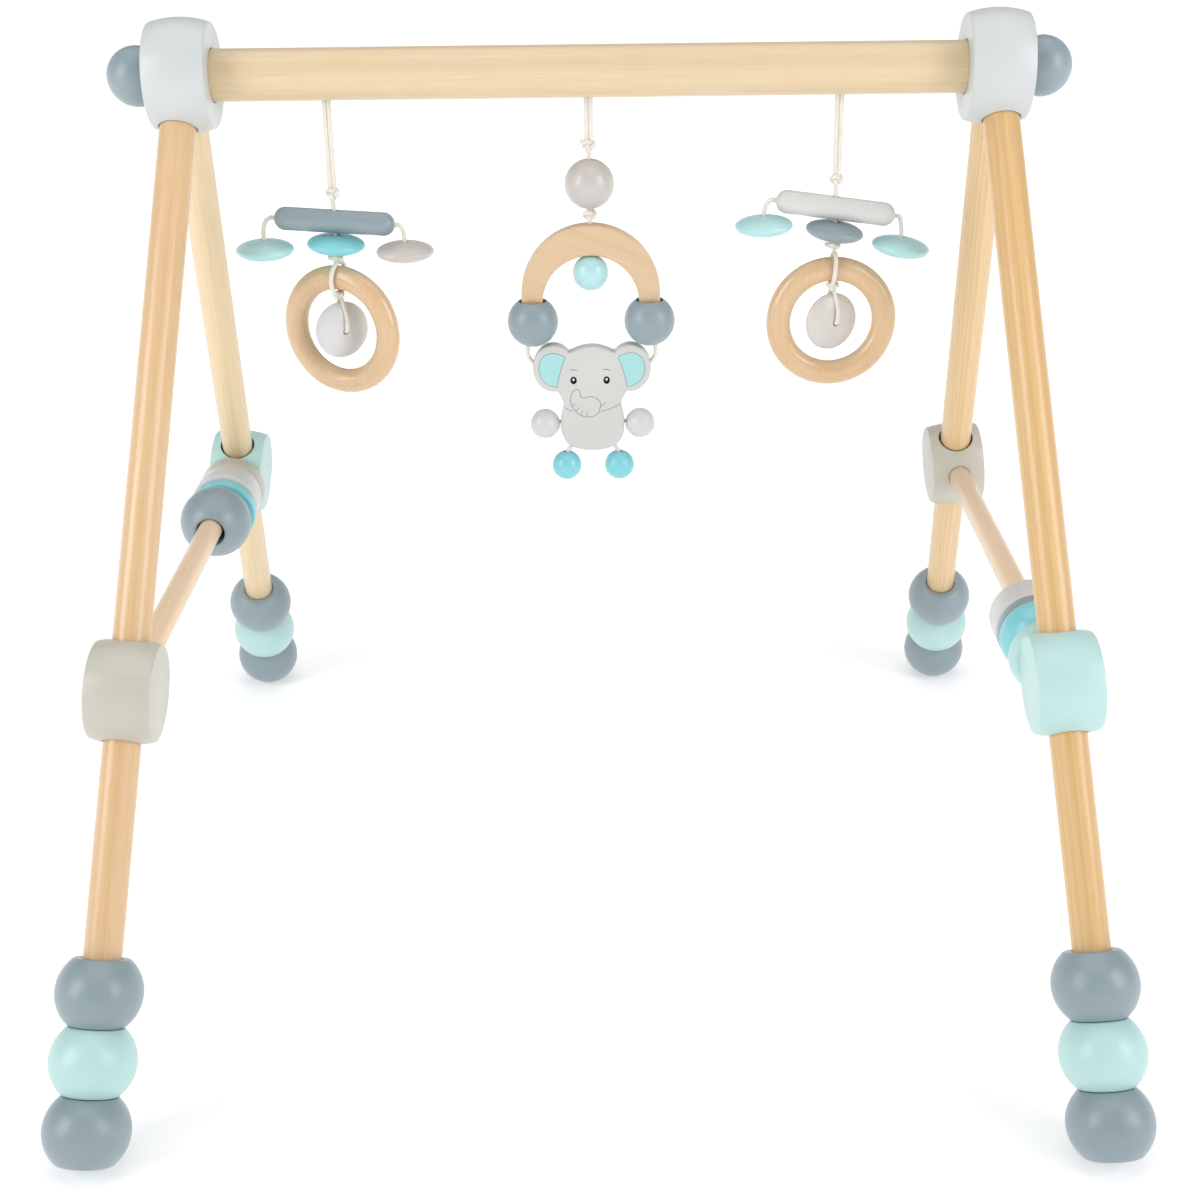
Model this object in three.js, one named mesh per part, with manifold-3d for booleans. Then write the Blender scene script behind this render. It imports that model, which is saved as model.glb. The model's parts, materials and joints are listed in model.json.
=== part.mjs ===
// Wooden activity play gym: a round top bar carried by two splayed A-frames on stacked foot balls,
// with three hanging toys under the bar and a row of loose beads on each side bar.
// Millimetres, +Z up, +X along the top bar, -Y is the front. The origin is on the floor, under the
// middle of the bar.
import * as THREE from "three";
import { mergeVertices } from "three/addons/utils/BufferGeometryUtils.js";
import Module from "manifold-3d";

const wasm = await Module();
wasm.setup();

// ---------------------------------------------------------------- driving dimensions

// Stand
const HUB_HALF_SPAN = 244; // middle of the gym to the middle of a hub
const HUB_RISE = 536; // lowest foot ball's centre up to the hub's axis
const FOOT_HALF_WIDTH = 290; // middle of the gym to the lowest foot ball's centre, along X
const FOOT_HALF_DEPTH = 310; // the same along Y
const BAR_RADIUS = 15.5;
const LEG_RADIUS = 11;
const SIDE_BAR_RADIUS = 8;
const HUB = { crown: 34, face: 31, thickness: 37 };
const CONNECTOR = { crown: 31, face: 28.5, thickness: 38 };
const CONNECTOR_DOWN_LEG = 371; // hub centre to connector centre, along the leg
const LEG_START = 21.3; // hub centre to the leg's upper end, along the leg
const END_BALL_RADIUS = 18;
const END_BALL_OFFSET = 27.5; // hub centre to end ball centre
const END_PEG = { radius: 5, length: 22 }; // the end ball's own peg, glued into the bar's end
const BAR_INSET = 4; // hub's outer face to the bar's end

// Foot balls
const FOOT_BALL_RADIUS = 25;
const FOOT_BALL_HALF = 19.2; // centre to each flat
const FOOT_BALL_PITCH = 38.7;
const LEG_PAST_CENTRE = 6; // how far the leg reaches past the lowest ball's centre

// Fits
const GAP = 0.3; // between pieces that touch
const LEG_HOLE_CLEARANCE = 1.6; // the connectors sit loosely on the legs
const HUB_SOCKET_CLEARANCE = 0.7;
const BEAD_BORE = 10; // radius of the hole through most side beads
const LOOSE_BORE = 13; // the same in the left thin disc, which hangs lower for it

// Beads on the side bars
const BEAD_RADIUS = 23.5;
const BEAD_BALL = { radius: 24.8, half: 21.8 };
const THIN_DISC = 9;
const THICK_DISC = 23;
const LAST_DISC = 15;
const DOME_BEAD = 21;
const ROUND_BEAD = 15;

// Hanging toys
const CORD_RADIUS = 1.4;
const CORD_HOLE = { radius: 4.2, depth: 5 }; // in the bar's underside, wide enough to swing in
const CORD_IN_HOLE = 3.5; // how far the cord goes up its hole
const TOY_X = { left: -159, center: -0.5, right: 151.5 };
const LENS = { radius: 18, half: 6.2, bore: 1.9 };
const ROD = { radius: 7.2, length: 75 };
const RING = { middle: 33.6, across: 7.6, half: 6.5 }; // torus radius and its oval section
const KNOT_RADIUS = 3.2;
const THREADED_BORE = 2.5; // radius of the hole in a tilted piece that an upright cord runs through
const SLACK = 1; // rod to the lens threaded under it
const KNOT_OVER_ROD = 16.7; // rod's middle up to the knot over it
const KNOT_UNDER_ROD = 24.3; // rod's middle down to the knot under the threaded lens
const RING_DROP = { left: 69.1, right: 71.8 }; // rod's middle down to the ring's centre
const ROD_HEIGHT = { left: 471.8, right: 476.6 };
const ROD_TILT = { left: 4, right: 8 }; // degrees, right end down
const RING_TURN = { left: -24, right: 3 }; // degrees about the vertical
const RING_LENS_TURN = { left: 33, right: 25 }; // the same for the lens inside the ring

// Each side lens: rod's middle out to its centre, and rod's end down to its centre.
const SIDE_LENS = {
  left: { outer: { out: 44.7, drop: 20 }, inner: { out: 42.8, drop: 16.8 } },
  right: { outer: { out: 41.5, drop: 19.5 }, inner: { out: 44, drop: 15.8 } },
};
const CENTER_BALL = { radius: 15.3, height: 493.2 };
const KNOT_OVER_BALL = 22.8; // ball's centre up to the knot over it
const ARCH = { outer: 43.6, outerCentre: 425, inner: 30.4, innerCentre: 418.8, foot: 409.5, half: 4.8 };
const ARCH_BALL = { radius: 16, height: 406.6, x: 37, socket: 8.6 };
const DROP_BALL_RADIUS = 11.2;
const LIMB_BALL_RADIUS = 9.5;
const LIMB_BORE = 1.9;
const ELEPHANT_HALF = 4.5; // half the plate's thickness

// Facets
const SIDES = 18;
const LARGE_SIDES = 24;
const SMALL_SIDES = 12;
const CORD_SIDES = 8;
const ARC_STEPS = 4;

// ---------------------------------------------------------------- colours

const paint = (color, roughness = 0.45) =>
  new THREE.MeshStandardMaterial({ color, roughness, metalness: 0 });

const MATERIAL = {
  barWood: paint(0xecd2a4, 0.55),
  legWood: paint(0xe6bf8d, 0.5),
  beech: paint(0xe3bf98, 0.5),
  hubGrey: paint(0xd9dfe1),
  slate: paint(0x919ea5),
  mint: paint(0xbfe6e3),
  cyan: paint(0x7fd3de),
  aqua: paint(0xa9dfe2),
  lightGrey: paint(0xd8d8d9),
  warmGrey: paint(0xc8c5bd),
  mauveGrey: paint(0xcbc5c5),
  cord: paint(0xefe9dc, 0.9),
};

// ---------------------------------------------------------------- solids and booleans

function solid(geometry) {
  const bare = geometry.clone();
  bare.deleteAttribute("normal");
  bare.deleteAttribute("uv");
  const merged = mergeVertices(bare, 1e-4);
  const mesh = new wasm.Mesh({
    numProp: 3,
    vertProperties: merged.attributes.position.array,
    triVerts: new Uint32Array(merged.index.array),
  });
  return new wasm.Manifold(mesh);
}

function geometryOf(manifold) {
  const mesh = manifold.getMesh();
  const geometry = new THREE.BufferGeometry();
  geometry.setAttribute("position", new THREE.BufferAttribute(mesh.vertProperties, 3));
  geometry.setIndex(new THREE.BufferAttribute(mesh.triVerts, 1));
  geometry.computeVertexNormals();
  return geometry;
}

const cut = (geometry, ...tools) =>
  geometryOf(tools.reduce((body, tool) => body.subtract(solid(tool)), solid(geometry)));

const join = (geometry, ...others) =>
  geometryOf(others.reduce((body, other) => body.add(solid(other)), solid(geometry)));

// A closed round rod from one point to another.
function rodBetween(from, to, radius, sides = SIDES) {
  const along = new THREE.Vector3().subVectors(to, from);
  const geometry = new THREE.CylinderGeometry(radius, radius, along.length(), sides);
  const turn = new THREE.Quaternion().setFromUnitVectors(
    new THREE.Vector3(0, 1, 0),
    along.clone().normalize(),
  );
  geometry.applyQuaternion(turn);
  geometry.translate(...from.clone().addScaledVector(along, 0.5));
  return geometry;
}

// ---------------------------------------------------------------- turned profiles
// Each profile is a list of (radius, height) points, run anticlockwise, for a LatheGeometry about Y.

const point = (radius, height) => new THREE.Vector2(radius, height);

// Points on an ellipse about (centreRadius, 0), from one angle to another, in degrees.
function arc(centreRadius, across, up, from, to, steps = ARC_STEPS) {
  return Array.from({ length: steps + 1 }, (_, i) => {
    const angle = THREE.MathUtils.degToRad(from + ((to - from) * i) / steps);
    return point(centreRadius + across * Math.cos(angle), up * Math.sin(angle));
  });
}

const angleOfFlat = (half, radius) => THREE.MathUtils.radToDeg(Math.asin(half / radius));

// A ball with a flat at each end and a bore right through.
function boredBall(radius, half, bore) {
  const end = angleOfFlat(half, radius);
  return [
    point(bore, -half),
    ...arc(0, radius, radius, -end, end),
    point(bore, half),
    point(bore, -half),
  ];
}

// A ball with a flat at each end and a blind socket from the top down to a floor.
function socketedBall(radius, bottom, top, socket, floor) {
  return [
    point(0, -bottom),
    ...arc(0, radius, radius, -angleOfFlat(bottom, radius), angleOfFlat(top, radius)),
    point(socket, top),
    point(socket, floor),
    point(0, floor),
  ];
}

// A disc whose rim bulges from its faces to its crown, as a shallow barrel.
function domedDisc({ crown, face, thickness }, bore) {
  const half = thickness / 2;
  const bulge = crown - face;
  const rimRadius = (bulge ** 2 + half ** 2) / (2 * bulge);
  const end = angleOfFlat(half, rimRadius);
  const rim = arc(crown - rimRadius, rimRadius, rimRadius, -end, end);
  if (!bore) return [point(0, -half), ...rim, point(0, half)];
  return [point(bore, -half), ...rim, point(bore, half), point(bore, -half)];
}

// A flat disc with rounded rims and a bore.
function flatDisc(radius, thickness, bore, round = 1.5) {
  const half = thickness / 2;
  const corner = round * (1 - Math.SQRT1_2);
  return [
    point(bore, -half),
    point(radius - round, -half),
    point(radius - corner, -half + corner),
    point(radius, -half + round),
    point(radius, half - round),
    point(radius - corner, half - corner),
    point(radius - round, half),
    point(bore, half),
    point(bore, -half),
  ];
}

// A lens, or any bead whose section is an ellipse cut by its bore.
function lens(radius, half, bore, steps = 6) {
  const end = THREE.MathUtils.radToDeg(Math.acos(bore / radius));
  const outer = arc(0, radius, half, -end, end, steps);
  return [...outer, outer[0].clone()];
}

// A bead that is flat at the back (+Y) and domed at the front (-Y).
function dome(radius, thickness, bore) {
  const half = thickness / 2;
  const end = THREE.MathUtils.radToDeg(Math.acos(bore / radius));
  const front = arc(0, radius, thickness, -end, 0).map((p) => point(p.x, p.y + half));
  return [...front, point(bore, half), front[0].clone()];
}

const turned = (profile, sides = SIDES) => new THREE.LatheGeometry(profile, sides);

// Turns a piece made about Y so that its axis lies along X, or stands along Z.
const alongX = (geometry) => geometry.rotateZ(-Math.PI / 2);
const alongZ = (geometry) => geometry.rotateX(Math.PI / 2);

// ---------------------------------------------------------------- scene graph helpers

const gym = new THREE.Group();

function add(parent, name, geometry, material, x = 0, y = 0, z = 0) {
  const mesh = new THREE.Mesh(geometry, material);
  mesh.name = name;
  mesh.position.set(x, y, z);
  parent.add(mesh);
  return mesh;
}

// ---------------------------------------------------------------- stand

const splay = FOOT_HALF_WIDTH - HUB_HALF_SPAN;
const LEG_LENGTH = Math.hypot(splay, FOOT_HALF_DEPTH, HUB_RISE);
const legTilt = Math.acos(HUB_RISE / LEG_LENGTH);
const footRim = Math.sqrt(FOOT_BALL_RADIUS ** 2 - FOOT_BALL_HALF ** 2);

// The lowest ball leans with its leg and stands on the edge of its flat.
const FOOT_HEIGHT = FOOT_BALL_HALF * Math.cos(legTilt) + footRim * Math.sin(legTilt);
const HUB_HEIGHT = FOOT_HEIGHT + HUB_RISE;

const hubCentre = (side) => new THREE.Vector3(side * HUB_HALF_SPAN, 0, HUB_HEIGHT);

function legDirection(side, end) {
  const foot = new THREE.Vector3(side * FOOT_HALF_WIDTH, end * FOOT_HALF_DEPTH, FOOT_HEIGHT);
  return foot.sub(hubCentre(side)).normalize();
}

const connectorShare = CONNECTOR_DOWN_LEG / LEG_LENGTH;
const SIDE_BAR_X = HUB_HALF_SPAN + splay * connectorShare;
const SIDE_BAR_HEIGHT = HUB_HEIGHT - HUB_RISE * connectorShare;
const CONNECTOR_Y = FOOT_HALF_DEPTH * connectorShare;

// The side bar stops clear of the leg, which crosses its socket at a slant.
const legHole = LEG_RADIUS + LEG_HOLE_CLEARANCE;
const sideBarEnd = CONNECTOR_Y - (legHole + SIDE_BAR_RADIUS * Math.sin(legTilt)) / Math.cos(legTilt) - 1;

function addTopBar() {
  const bar = alongX(new THREE.CylinderGeometry(BAR_RADIUS, BAR_RADIUS, barLength(), LARGE_SIDES));
  const holes = Object.values(TOY_X).map((x) =>
    rodBetween(
      new THREE.Vector3(x, 0, -BAR_RADIUS - 1),
      new THREE.Vector3(x, 0, CORD_HOLE.depth - BAR_RADIUS),
      CORD_HOLE.radius,
      SMALL_SIDES,
    ),
  );
  const pegHoles = [-1, 1].map((side) =>
    rodBetween(
      new THREE.Vector3((side * barLength()) / 2 + side, 0, 0),
      new THREE.Vector3((side * barLength()) / 2 - side * (END_PEG.length - BAR_INSET), 0, 0),
      END_PEG.radius + GAP,
      SMALL_SIDES,
    ),
  );
  add(gym, "top_bar", cut(bar, ...holes, ...pegHoles), MATERIAL.barWood, 0, 0, HUB_HEIGHT);
}

function barLength() {
  return 2 * (HUB_HALF_SPAN + HUB.thickness / 2 - BAR_INSET);
}

// A barrel-shaped disc on the bar's end, with a wall that only the end ball's peg goes through, and
// a blind socket for each leg. Its profile is turned with the outer face at the top.
function addHub(side, name) {
  const half = HUB.thickness / 2;
  const wallStart = half - BAR_INSET + GAP;
  const bore = BAR_RADIUS + GAP;
  const pegHole = END_PEG.radius + GAP;
  const rim = domedDisc(HUB, bore).slice(1, -2);
  const profile = [
    point(bore, -half),
    ...rim,
    point(pegHole, half),
    point(pegHole, wallStart),
    point(bore, wallStart),
    point(bore, -half),
  ];
  const disc = turned(profile, LARGE_SIDES).rotateZ((-side * Math.PI) / 2);
  const sockets = [-1, 1].map((end) => {
    const along = legDirection(side, end);
    return rodBetween(
      along.clone().multiplyScalar(LEG_START - GAP),
      along.clone().multiplyScalar(HUB.crown + 6),
      LEG_RADIUS + HUB_SOCKET_CLEARANCE,
    );
  });
  const centre = hubCentre(side);
  add(gym, `hub_${name}`, cut(disc, ...sockets), MATERIAL.hubGrey, ...centre);
}

// A ball that closes the hub's outer face, with a peg that is glued into the bar's end.
function addEndBall(side, name) {
  const seat = HUB.thickness / 2 + GAP - END_BALL_OFFSET; // where the hub's face meets the ball
  const profile = [
    point(0, seat - END_PEG.length),
    point(END_PEG.radius, seat - END_PEG.length),
    point(END_PEG.radius, seat),
    ...arc(0, END_BALL_RADIUS, END_BALL_RADIUS, angleOfFlat(seat, END_BALL_RADIUS), 90, 6),
  ];
  const ball = turned(profile).rotateZ((-side * Math.PI) / 2);
  const x = side * (HUB_HALF_SPAN + END_BALL_OFFSET);
  add(gym, `end_ball_${name}`, ball, MATERIAL.slate, x, 0, HUB_HEIGHT);
}

// One leg with its connector and three foot balls, in a group whose Y axis runs down the leg and
// whose X axis is square to both the leg and the side bar.
function addLeg(side, end, name) {
  const down = legDirection(side, end);
  const across = new THREE.Vector3().crossVectors(down, new THREE.Vector3(0, 1, 0)).normalize();
  const third = new THREE.Vector3().crossVectors(across, down);
  const group = new THREE.Group();
  group.quaternion.setFromRotationMatrix(new THREE.Matrix4().makeBasis(across, down, third));
  group.position.copy(hubCentre(side));
  gym.add(group);

  const legEnd = LEG_LENGTH + LEG_PAST_CENTRE;
  const leg = new THREE.CylinderGeometry(LEG_RADIUS, LEG_RADIUS, legEnd - LEG_START, SIDES);
  add(group, `leg_${name}`, leg, MATERIAL.legWood, 0, (legEnd + LEG_START) / 2);

  const disc = alongX(turned(domedDisc(CONNECTOR), LARGE_SIDES));
  const reach = CONNECTOR.crown + 6;
  const hole = new THREE.CylinderGeometry(legHole, legHole, 2 * reach, SIDES);
  const inward = new THREE.Vector3(0, -end, 0).applyQuaternion(group.quaternion.clone().invert());
  const socket = rodBetween(
    inward.clone().multiplyScalar(CONNECTOR_Y - sideBarEnd - GAP),
    inward.clone().multiplyScalar(reach),
    SIDE_BAR_RADIUS + GAP,
    SMALL_SIDES,
  );
  const paintOf = side === end ? MATERIAL.warmGrey : MATERIAL.mint;
  add(group, `connector_${name}`, cut(disc, hole, socket), paintOf, 0, CONNECTOR_DOWN_LEG);

  const bore = LEG_RADIUS + GAP;
  const through = boredBall(FOOT_BALL_RADIUS, FOOT_BALL_HALF, bore);
  const floor = -LEG_PAST_CENTRE - GAP;
  const blind = socketedBall(FOOT_BALL_RADIUS, FOOT_BALL_HALF, FOOT_BALL_HALF, bore, floor);
  const up = LEG_LENGTH - FOOT_BALL_PITCH;
  add(group, `foot_top_${name}`, turned(through), MATERIAL.slate, 0, up - FOOT_BALL_PITCH);
  add(group, `foot_middle_${name}`, turned(through), MATERIAL.mint, 0, up);
  const lowest = turned(blind).rotateX(Math.PI).rotateY(Math.PI / 2);
  add(group, `foot_bottom_${name}`, lowest, MATERIAL.slate, 0, LEG_LENGTH);
}

function addSideBar(side, name) {
  const bar = new THREE.CylinderGeometry(SIDE_BAR_RADIUS, SIDE_BAR_RADIUS, 2 * sideBarEnd, SIDES);
  add(gym, `side_bar_${name}`, bar, MATERIAL.beech, side * SIDE_BAR_X, 0, SIDE_BAR_HEIGHT);
}

// ---------------------------------------------------------------- beads on the side bars

// Loose beads hang on the bar by the top of their bores. They are packed one after another from the
// connector at one end of the bar, and from there step is +1 towards the rear or -1 to the front.
function addBeads(side, step, beads) {
  let edge = -step * (CONNECTOR_Y - CONNECTOR.crown - GAP);
  for (const { name, thickness, profile, material, bore = BEAD_BORE } of beads) {
    const y = edge + (step * thickness) / 2;
    const height = SIDE_BAR_HEIGHT - (bore - SIDE_BAR_RADIUS - GAP);
    add(gym, name, turned(profile), material, side * SIDE_BAR_X, y, height);
    edge += step * (thickness + GAP);
  }
}

const LEFT_BEADS = [
  {
    name: "last_disc_left",
    thickness: LAST_DISC,
    profile: flatDisc(BEAD_RADIUS, LAST_DISC, BEAD_BORE),
    material: MATERIAL.warmGrey,
  },
  {
    name: "thick_disc_left",
    thickness: THICK_DISC,
    profile: flatDisc(BEAD_RADIUS, THICK_DISC, BEAD_BORE),
    material: MATERIAL.lightGrey,
  },
  {
    name: "thin_disc_left",
    thickness: THIN_DISC,
    profile: flatDisc(BEAD_RADIUS, THIN_DISC, LOOSE_BORE),
    material: MATERIAL.cyan,
    bore: LOOSE_BORE,
  },
  {
    name: "sliding_ball_left",
    thickness: 2 * BEAD_BALL.half,
    profile: boredBall(BEAD_BALL.radius, BEAD_BALL.half, BEAD_BORE),
    material: MATERIAL.slate,
  },
];

const RIGHT_BEADS = [
  {
    name: "round_bead_right",
    thickness: ROUND_BEAD,
    profile: flatDisc(BEAD_RADIUS, ROUND_BEAD, BEAD_BORE, 6),
    material: MATERIAL.mint,
  },
  {
    name: "dome_bead_right",
    thickness: DOME_BEAD,
    profile: dome(BEAD_RADIUS, DOME_BEAD, BEAD_BORE),
    material: MATERIAL.cyan,
  },
  {
    name: "thin_disc_right",
    thickness: THIN_DISC,
    profile: flatDisc(BEAD_RADIUS, THIN_DISC, BEAD_BORE),
    material: MATERIAL.slate,
  },
  {
    name: "sliding_disc_right",
    thickness: THICK_DISC,
    profile: flatDisc(BEAD_RADIUS, THICK_DISC, BEAD_BORE),
    material: MATERIAL.lightGrey,
  },
];

// ---------------------------------------------------------------- hanging toys

const cordTop = HUB_HEIGHT - BAR_RADIUS + CORD_IN_HOLE;

// A doubled cord from its hole in the bar down to a knot, then one strand on down through the pieces
// threaded on it. The strand ends at a second knot where one is asked for.
function hangerCord(knotHeight, endHeight, endsInKnot) {
  const section = new THREE.Shape();
  section.absarc(CORD_RADIUS, 0, CORD_RADIUS, -Math.PI / 2, Math.PI / 2, false);
  section.absarc(-CORD_RADIUS, 0, CORD_RADIUS, Math.PI / 2, (3 * Math.PI) / 2, false);
  const doubled = new THREE.ExtrudeGeometry(section, {
    depth: cordTop - knotHeight,
    bevelEnabled: false,
    curveSegments: CORD_SIDES / 2,
  }).translate(0, 0, knotHeight);
  const strand = rodBetween(
    new THREE.Vector3(0, 0, endHeight),
    new THREE.Vector3(0, 0, knotHeight),
    CORD_RADIUS,
    CORD_SIDES,
  );
  const knots = (endsInKnot ? [knotHeight, endHeight] : [knotHeight]).map((height) =>
    new THREE.SphereGeometry(KNOT_RADIUS, 10, 6).translate(0, 0, height),
  );
  return join(doubled, strand, ...knots);
}

const plainLens = (bore = LENS.bore) => turned(lens(LENS.radius, LENS.half, bore));

// A short rod on a doubled cord, with a lens under its middle, a lens hanging from each end, and a
// ring below that holds one more lens.
function addMobile(name, side) {
  const x = TOY_X[name];
  const height = ROD_HEIGHT[name];
  const tilt = THREE.MathUtils.degToRad(ROD_TILT[name]);
  const toy = new THREE.Group();
  toy.position.set(x, 0, 0);
  gym.add(toy);

  const cord = hangerCord(height + KNOT_OVER_ROD, height - KNOT_UNDER_ROD, true);
  add(toy, `mobile_${name}_cord`, cord, MATERIAL.cord);

  const straight = ROD.length / 2 - ROD.radius;
  const shape = [
    ...arc(0, ROD.radius, ROD.radius, -90, 0).map((p) => point(p.x, p.y - straight)),
    ...arc(0, ROD.radius, ROD.radius, 0, 90).map((p) => point(p.x, p.y + straight)),
  ];
  const rod = alongX(turned(shape, SMALL_SIDES));
  rod.rotateY(tilt);
  const cordHole = rodBetween(
    new THREE.Vector3(0, 0, -ROD.radius - 2),
    new THREE.Vector3(0, 0, ROD.radius + 2),
    THREADED_BORE,
    SMALL_SIDES,
  );
  add(toy, `mobile_${name}_rod`, cut(rod, cordHole), rodPaint[name], 0, 0, height);

  const lensHeight = height - (ROD.radius + SLACK + LENS.half) / Math.cos(tilt);
  const middle = alongZ(plainLens(THREADED_BORE)).rotateY(tilt);
  add(toy, `mobile_${name}_center_lens`, middle, centerPaint[name], 0, 0, lensHeight);

  for (const end of [-1, 1]) {
    const which = end === side ? "outer" : "inner";
    const { out, drop } = SIDE_LENS[name][which];
    const z = height - end * (ROD.length / 2) * Math.sin(tilt) - drop;
    const piece = alongZ(plainLens());
    add(toy, `mobile_${name}_${which}_lens`, piece, sidePaint[name][which], end * out, 0, z);
  }

  const ringHeight = height - RING_DROP[name];
  const section = arc(RING.middle, RING.across, RING.half, 0, 360, 8);
  const hoop = turned(section, LARGE_SIDES);
  const ring = add(toy, `mobile_${name}_ring`, hoop, MATERIAL.beech, 0, 0, ringHeight);
  ring.rotation.z = THREE.MathUtils.degToRad(RING_TURN[name]);
  const held = add(toy, `mobile_${name}_ring_lens`, plainLens(), ringLensPaint[name], 0, 0, ringHeight);
  held.rotation.z = THREE.MathUtils.degToRad(RING_LENS_TURN[name]);
}

const rodPaint = { left: MATERIAL.slate, right: MATERIAL.lightGrey };
const centerPaint = { left: MATERIAL.cyan, right: MATERIAL.slate };
const ringLensPaint = { left: MATERIAL.lightGrey, right: MATERIAL.mauveGrey };
const sidePaint = {
  left: { outer: MATERIAL.aqua, inner: MATERIAL.mauveGrey },
  right: { outer: MATERIAL.aqua, inner: MATERIAL.aqua },
};

// A flat arch, thicker at its crown than at its feet, drilled down through the crown for the cord.
function archGeometry() {
  const shape = new THREE.Shape();
  shape.moveTo(ARCH.outer, ARCH.foot);
  shape.lineTo(ARCH.outer, ARCH.outerCentre);
  shape.absarc(0, ARCH.outerCentre, ARCH.outer, 0, Math.PI, false);
  shape.lineTo(-ARCH.outer, ARCH.foot);
  shape.lineTo(-ARCH.inner, ARCH.foot);
  shape.lineTo(-ARCH.inner, ARCH.innerCentre);
  shape.absarc(0, ARCH.innerCentre, ARCH.inner, Math.PI, 0, true);
  shape.lineTo(ARCH.inner, ARCH.foot);
  const plate = new THREE.ExtrudeGeometry(shape, {
    depth: 2 * ARCH.half,
    bevelEnabled: false,
    curveSegments: 16,
  });
  plate.rotateX(Math.PI / 2).translate(0, ARCH.half, 0);
  const hole = rodBetween(
    new THREE.Vector3(0, 0, ARCH.innerCentre),
    new THREE.Vector3(0, 0, ARCH.outerCentre + ARCH.outer + 2),
    LENS.bore,
    CORD_SIDES,
  );
  return cut(plate, hole);
}

// One half of the elephant's outline, from the middle of the forehead round to the middle of the
// belly: brow, ear, cheek, neck, flank and belly. Heights are above the floor.
const ELEPHANT_HALF_OUTLINE = {
  forehead: [0, 390.8],
  notch: [12.8, 387.3],
  ear: { x: 24.5, z: 376.5, across: 13.2, up: 15.4 },
  cheek: [21, 359],
  neck: [18.4, 351.5],
  flank: [20.6, 338],
  haunch: [14, 324.1],
  belly: [0, 321.1],
};

function elephantShape() {
  const { forehead, notch, ear, cheek, neck, flank, haunch, belly } = ELEPHANT_HALF_OUTLINE;
  const shape = new THREE.Shape();
  const toSide = (s) => {
    // from the forehead down one side to the belly
    shape.quadraticCurveTo(s * 7, forehead[1] - 0.2, s * notch[0], notch[1]);
    const start = THREE.MathUtils.degToRad(138);
    const stop = THREE.MathUtils.degToRad(-98);
    const steps = 12;
    for (let i = 0; i <= steps; i++) {
      const angle = start + ((stop - start) * i) / steps;
      shape.lineTo(s * (ear.x + ear.across * Math.cos(angle)), ear.z + ear.up * Math.sin(angle));
    }
    shape.lineTo(s * cheek[0], cheek[1]);
    shape.lineTo(s * neck[0], neck[1]);
    shape.quadraticCurveTo(s * 20.4, 345.5, s * flank[0], flank[1]);
    shape.quadraticCurveTo(s * 20.2, 328, s * haunch[0], haunch[1]);
    shape.quadraticCurveTo(s * 8, belly[1], belly[0], belly[1]);
  };
  shape.moveTo(...forehead);
  toSide(-1);
  // back up the other side: the same points in reverse
  const left = shape.getPoints(5);
  const right = left.slice(1, -1).reverse().map((p) => new THREE.Vector2(-p.x, p.y));
  return new THREE.Shape([...left, ...right]);
}

function elephantGeometry() {
  const plate = new THREE.ExtrudeGeometry(elephantShape(), {
    depth: 2 * ELEPHANT_HALF,
    bevelEnabled: false,
    curveSegments: 1,
  });
  return plate.rotateX(Math.PI / 2).translate(0, ELEPHANT_HALF, 0);
}

const HAND = { x: 30.8, z: 338.4 };
const FOOT = { x: 17.2, z: 309.9 };

function addCenterToy() {
  const toy = new THREE.Group();
  toy.position.set(TOY_X.center, 0, 0);
  gym.add(toy);

  const dropHeight = ARCH.innerCentre + ARCH.inner - DROP_BALL_RADIUS - GAP;
  const cord = hangerCord(CENTER_BALL.height + KNOT_OVER_BALL, dropHeight, false);
  add(toy, "center_cord", cord, MATERIAL.cord);
  const ball = alongZ(turned(lens(CENTER_BALL.radius, CENTER_BALL.radius, LENS.bore, 8)));
  add(toy, "center_ball", ball, MATERIAL.mauveGrey, 0, 0, CENTER_BALL.height);

  add(toy, "arch", archGeometry(), MATERIAL.beech);
  const drop = alongZ(turned(lens(DROP_BALL_RADIUS, DROP_BALL_RADIUS, LENS.bore), SMALL_SIDES));
  add(toy, "arch_drop_ball", drop, MATERIAL.aqua, 0, 0, dropHeight);

  const rim = Math.sqrt(ARCH_BALL.radius ** 2 - ARCH_BALL.socket ** 2);
  const floor = ARCH.foot - GAP - ARCH_BALL.height;
  const cup = socketedBall(ARCH_BALL.radius, 15.7, rim, ARCH_BALL.socket, floor);
  for (const [name, side] of [["left", -1], ["right", 1]]) {
    const holder = alongZ(turned(cup));
    add(toy, `arch_ball_${name}`, holder, MATERIAL.slate, side * ARCH_BALL.x, 0, ARCH_BALL.height);
  }

  add(toy, "elephant", elephantGeometry(), MATERIAL.lightGrey);
  for (const [name, side] of [["left", -1], ["right", 1]]) {
    const bead = () => turned(lens(LIMB_BALL_RADIUS, LIMB_BALL_RADIUS, LIMB_BORE), SMALL_SIDES);
    add(toy, `elephant_hand_${name}`, alongX(bead()), MATERIAL.lightGrey, side * HAND.x, 0, HAND.z);
    add(toy, `elephant_foot_${name}`, alongZ(bead()), MATERIAL.cyan, side * FOOT.x, 0, FOOT.z);
  }
}

// ---------------------------------------------------------------- assembly

addTopBar();
for (const [name, side] of [["left", -1], ["right", 1]]) {
  addHub(side, name);
  addEndBall(side, name);
  addLeg(side, -1, `front_${name}`);
  addLeg(side, 1, `rear_${name}`);
  addSideBar(side, name);
  addMobile(name, side);
}
addCenterToy();
addBeads(-1, -1, LEFT_BEADS);
addBeads(1, 1, RIGHT_BEADS);

export default gym;
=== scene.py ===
"""The looks of a wooden activity play gym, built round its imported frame.

Places come from the frame's own nodes, joints and mounts. Lengths in the named sizes are
millimetres, as in the part's source, and MM turns them into Blender's metres.
"""

import json
import math

import bmesh
import bpy
from mathutils import Matrix, Vector


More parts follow.
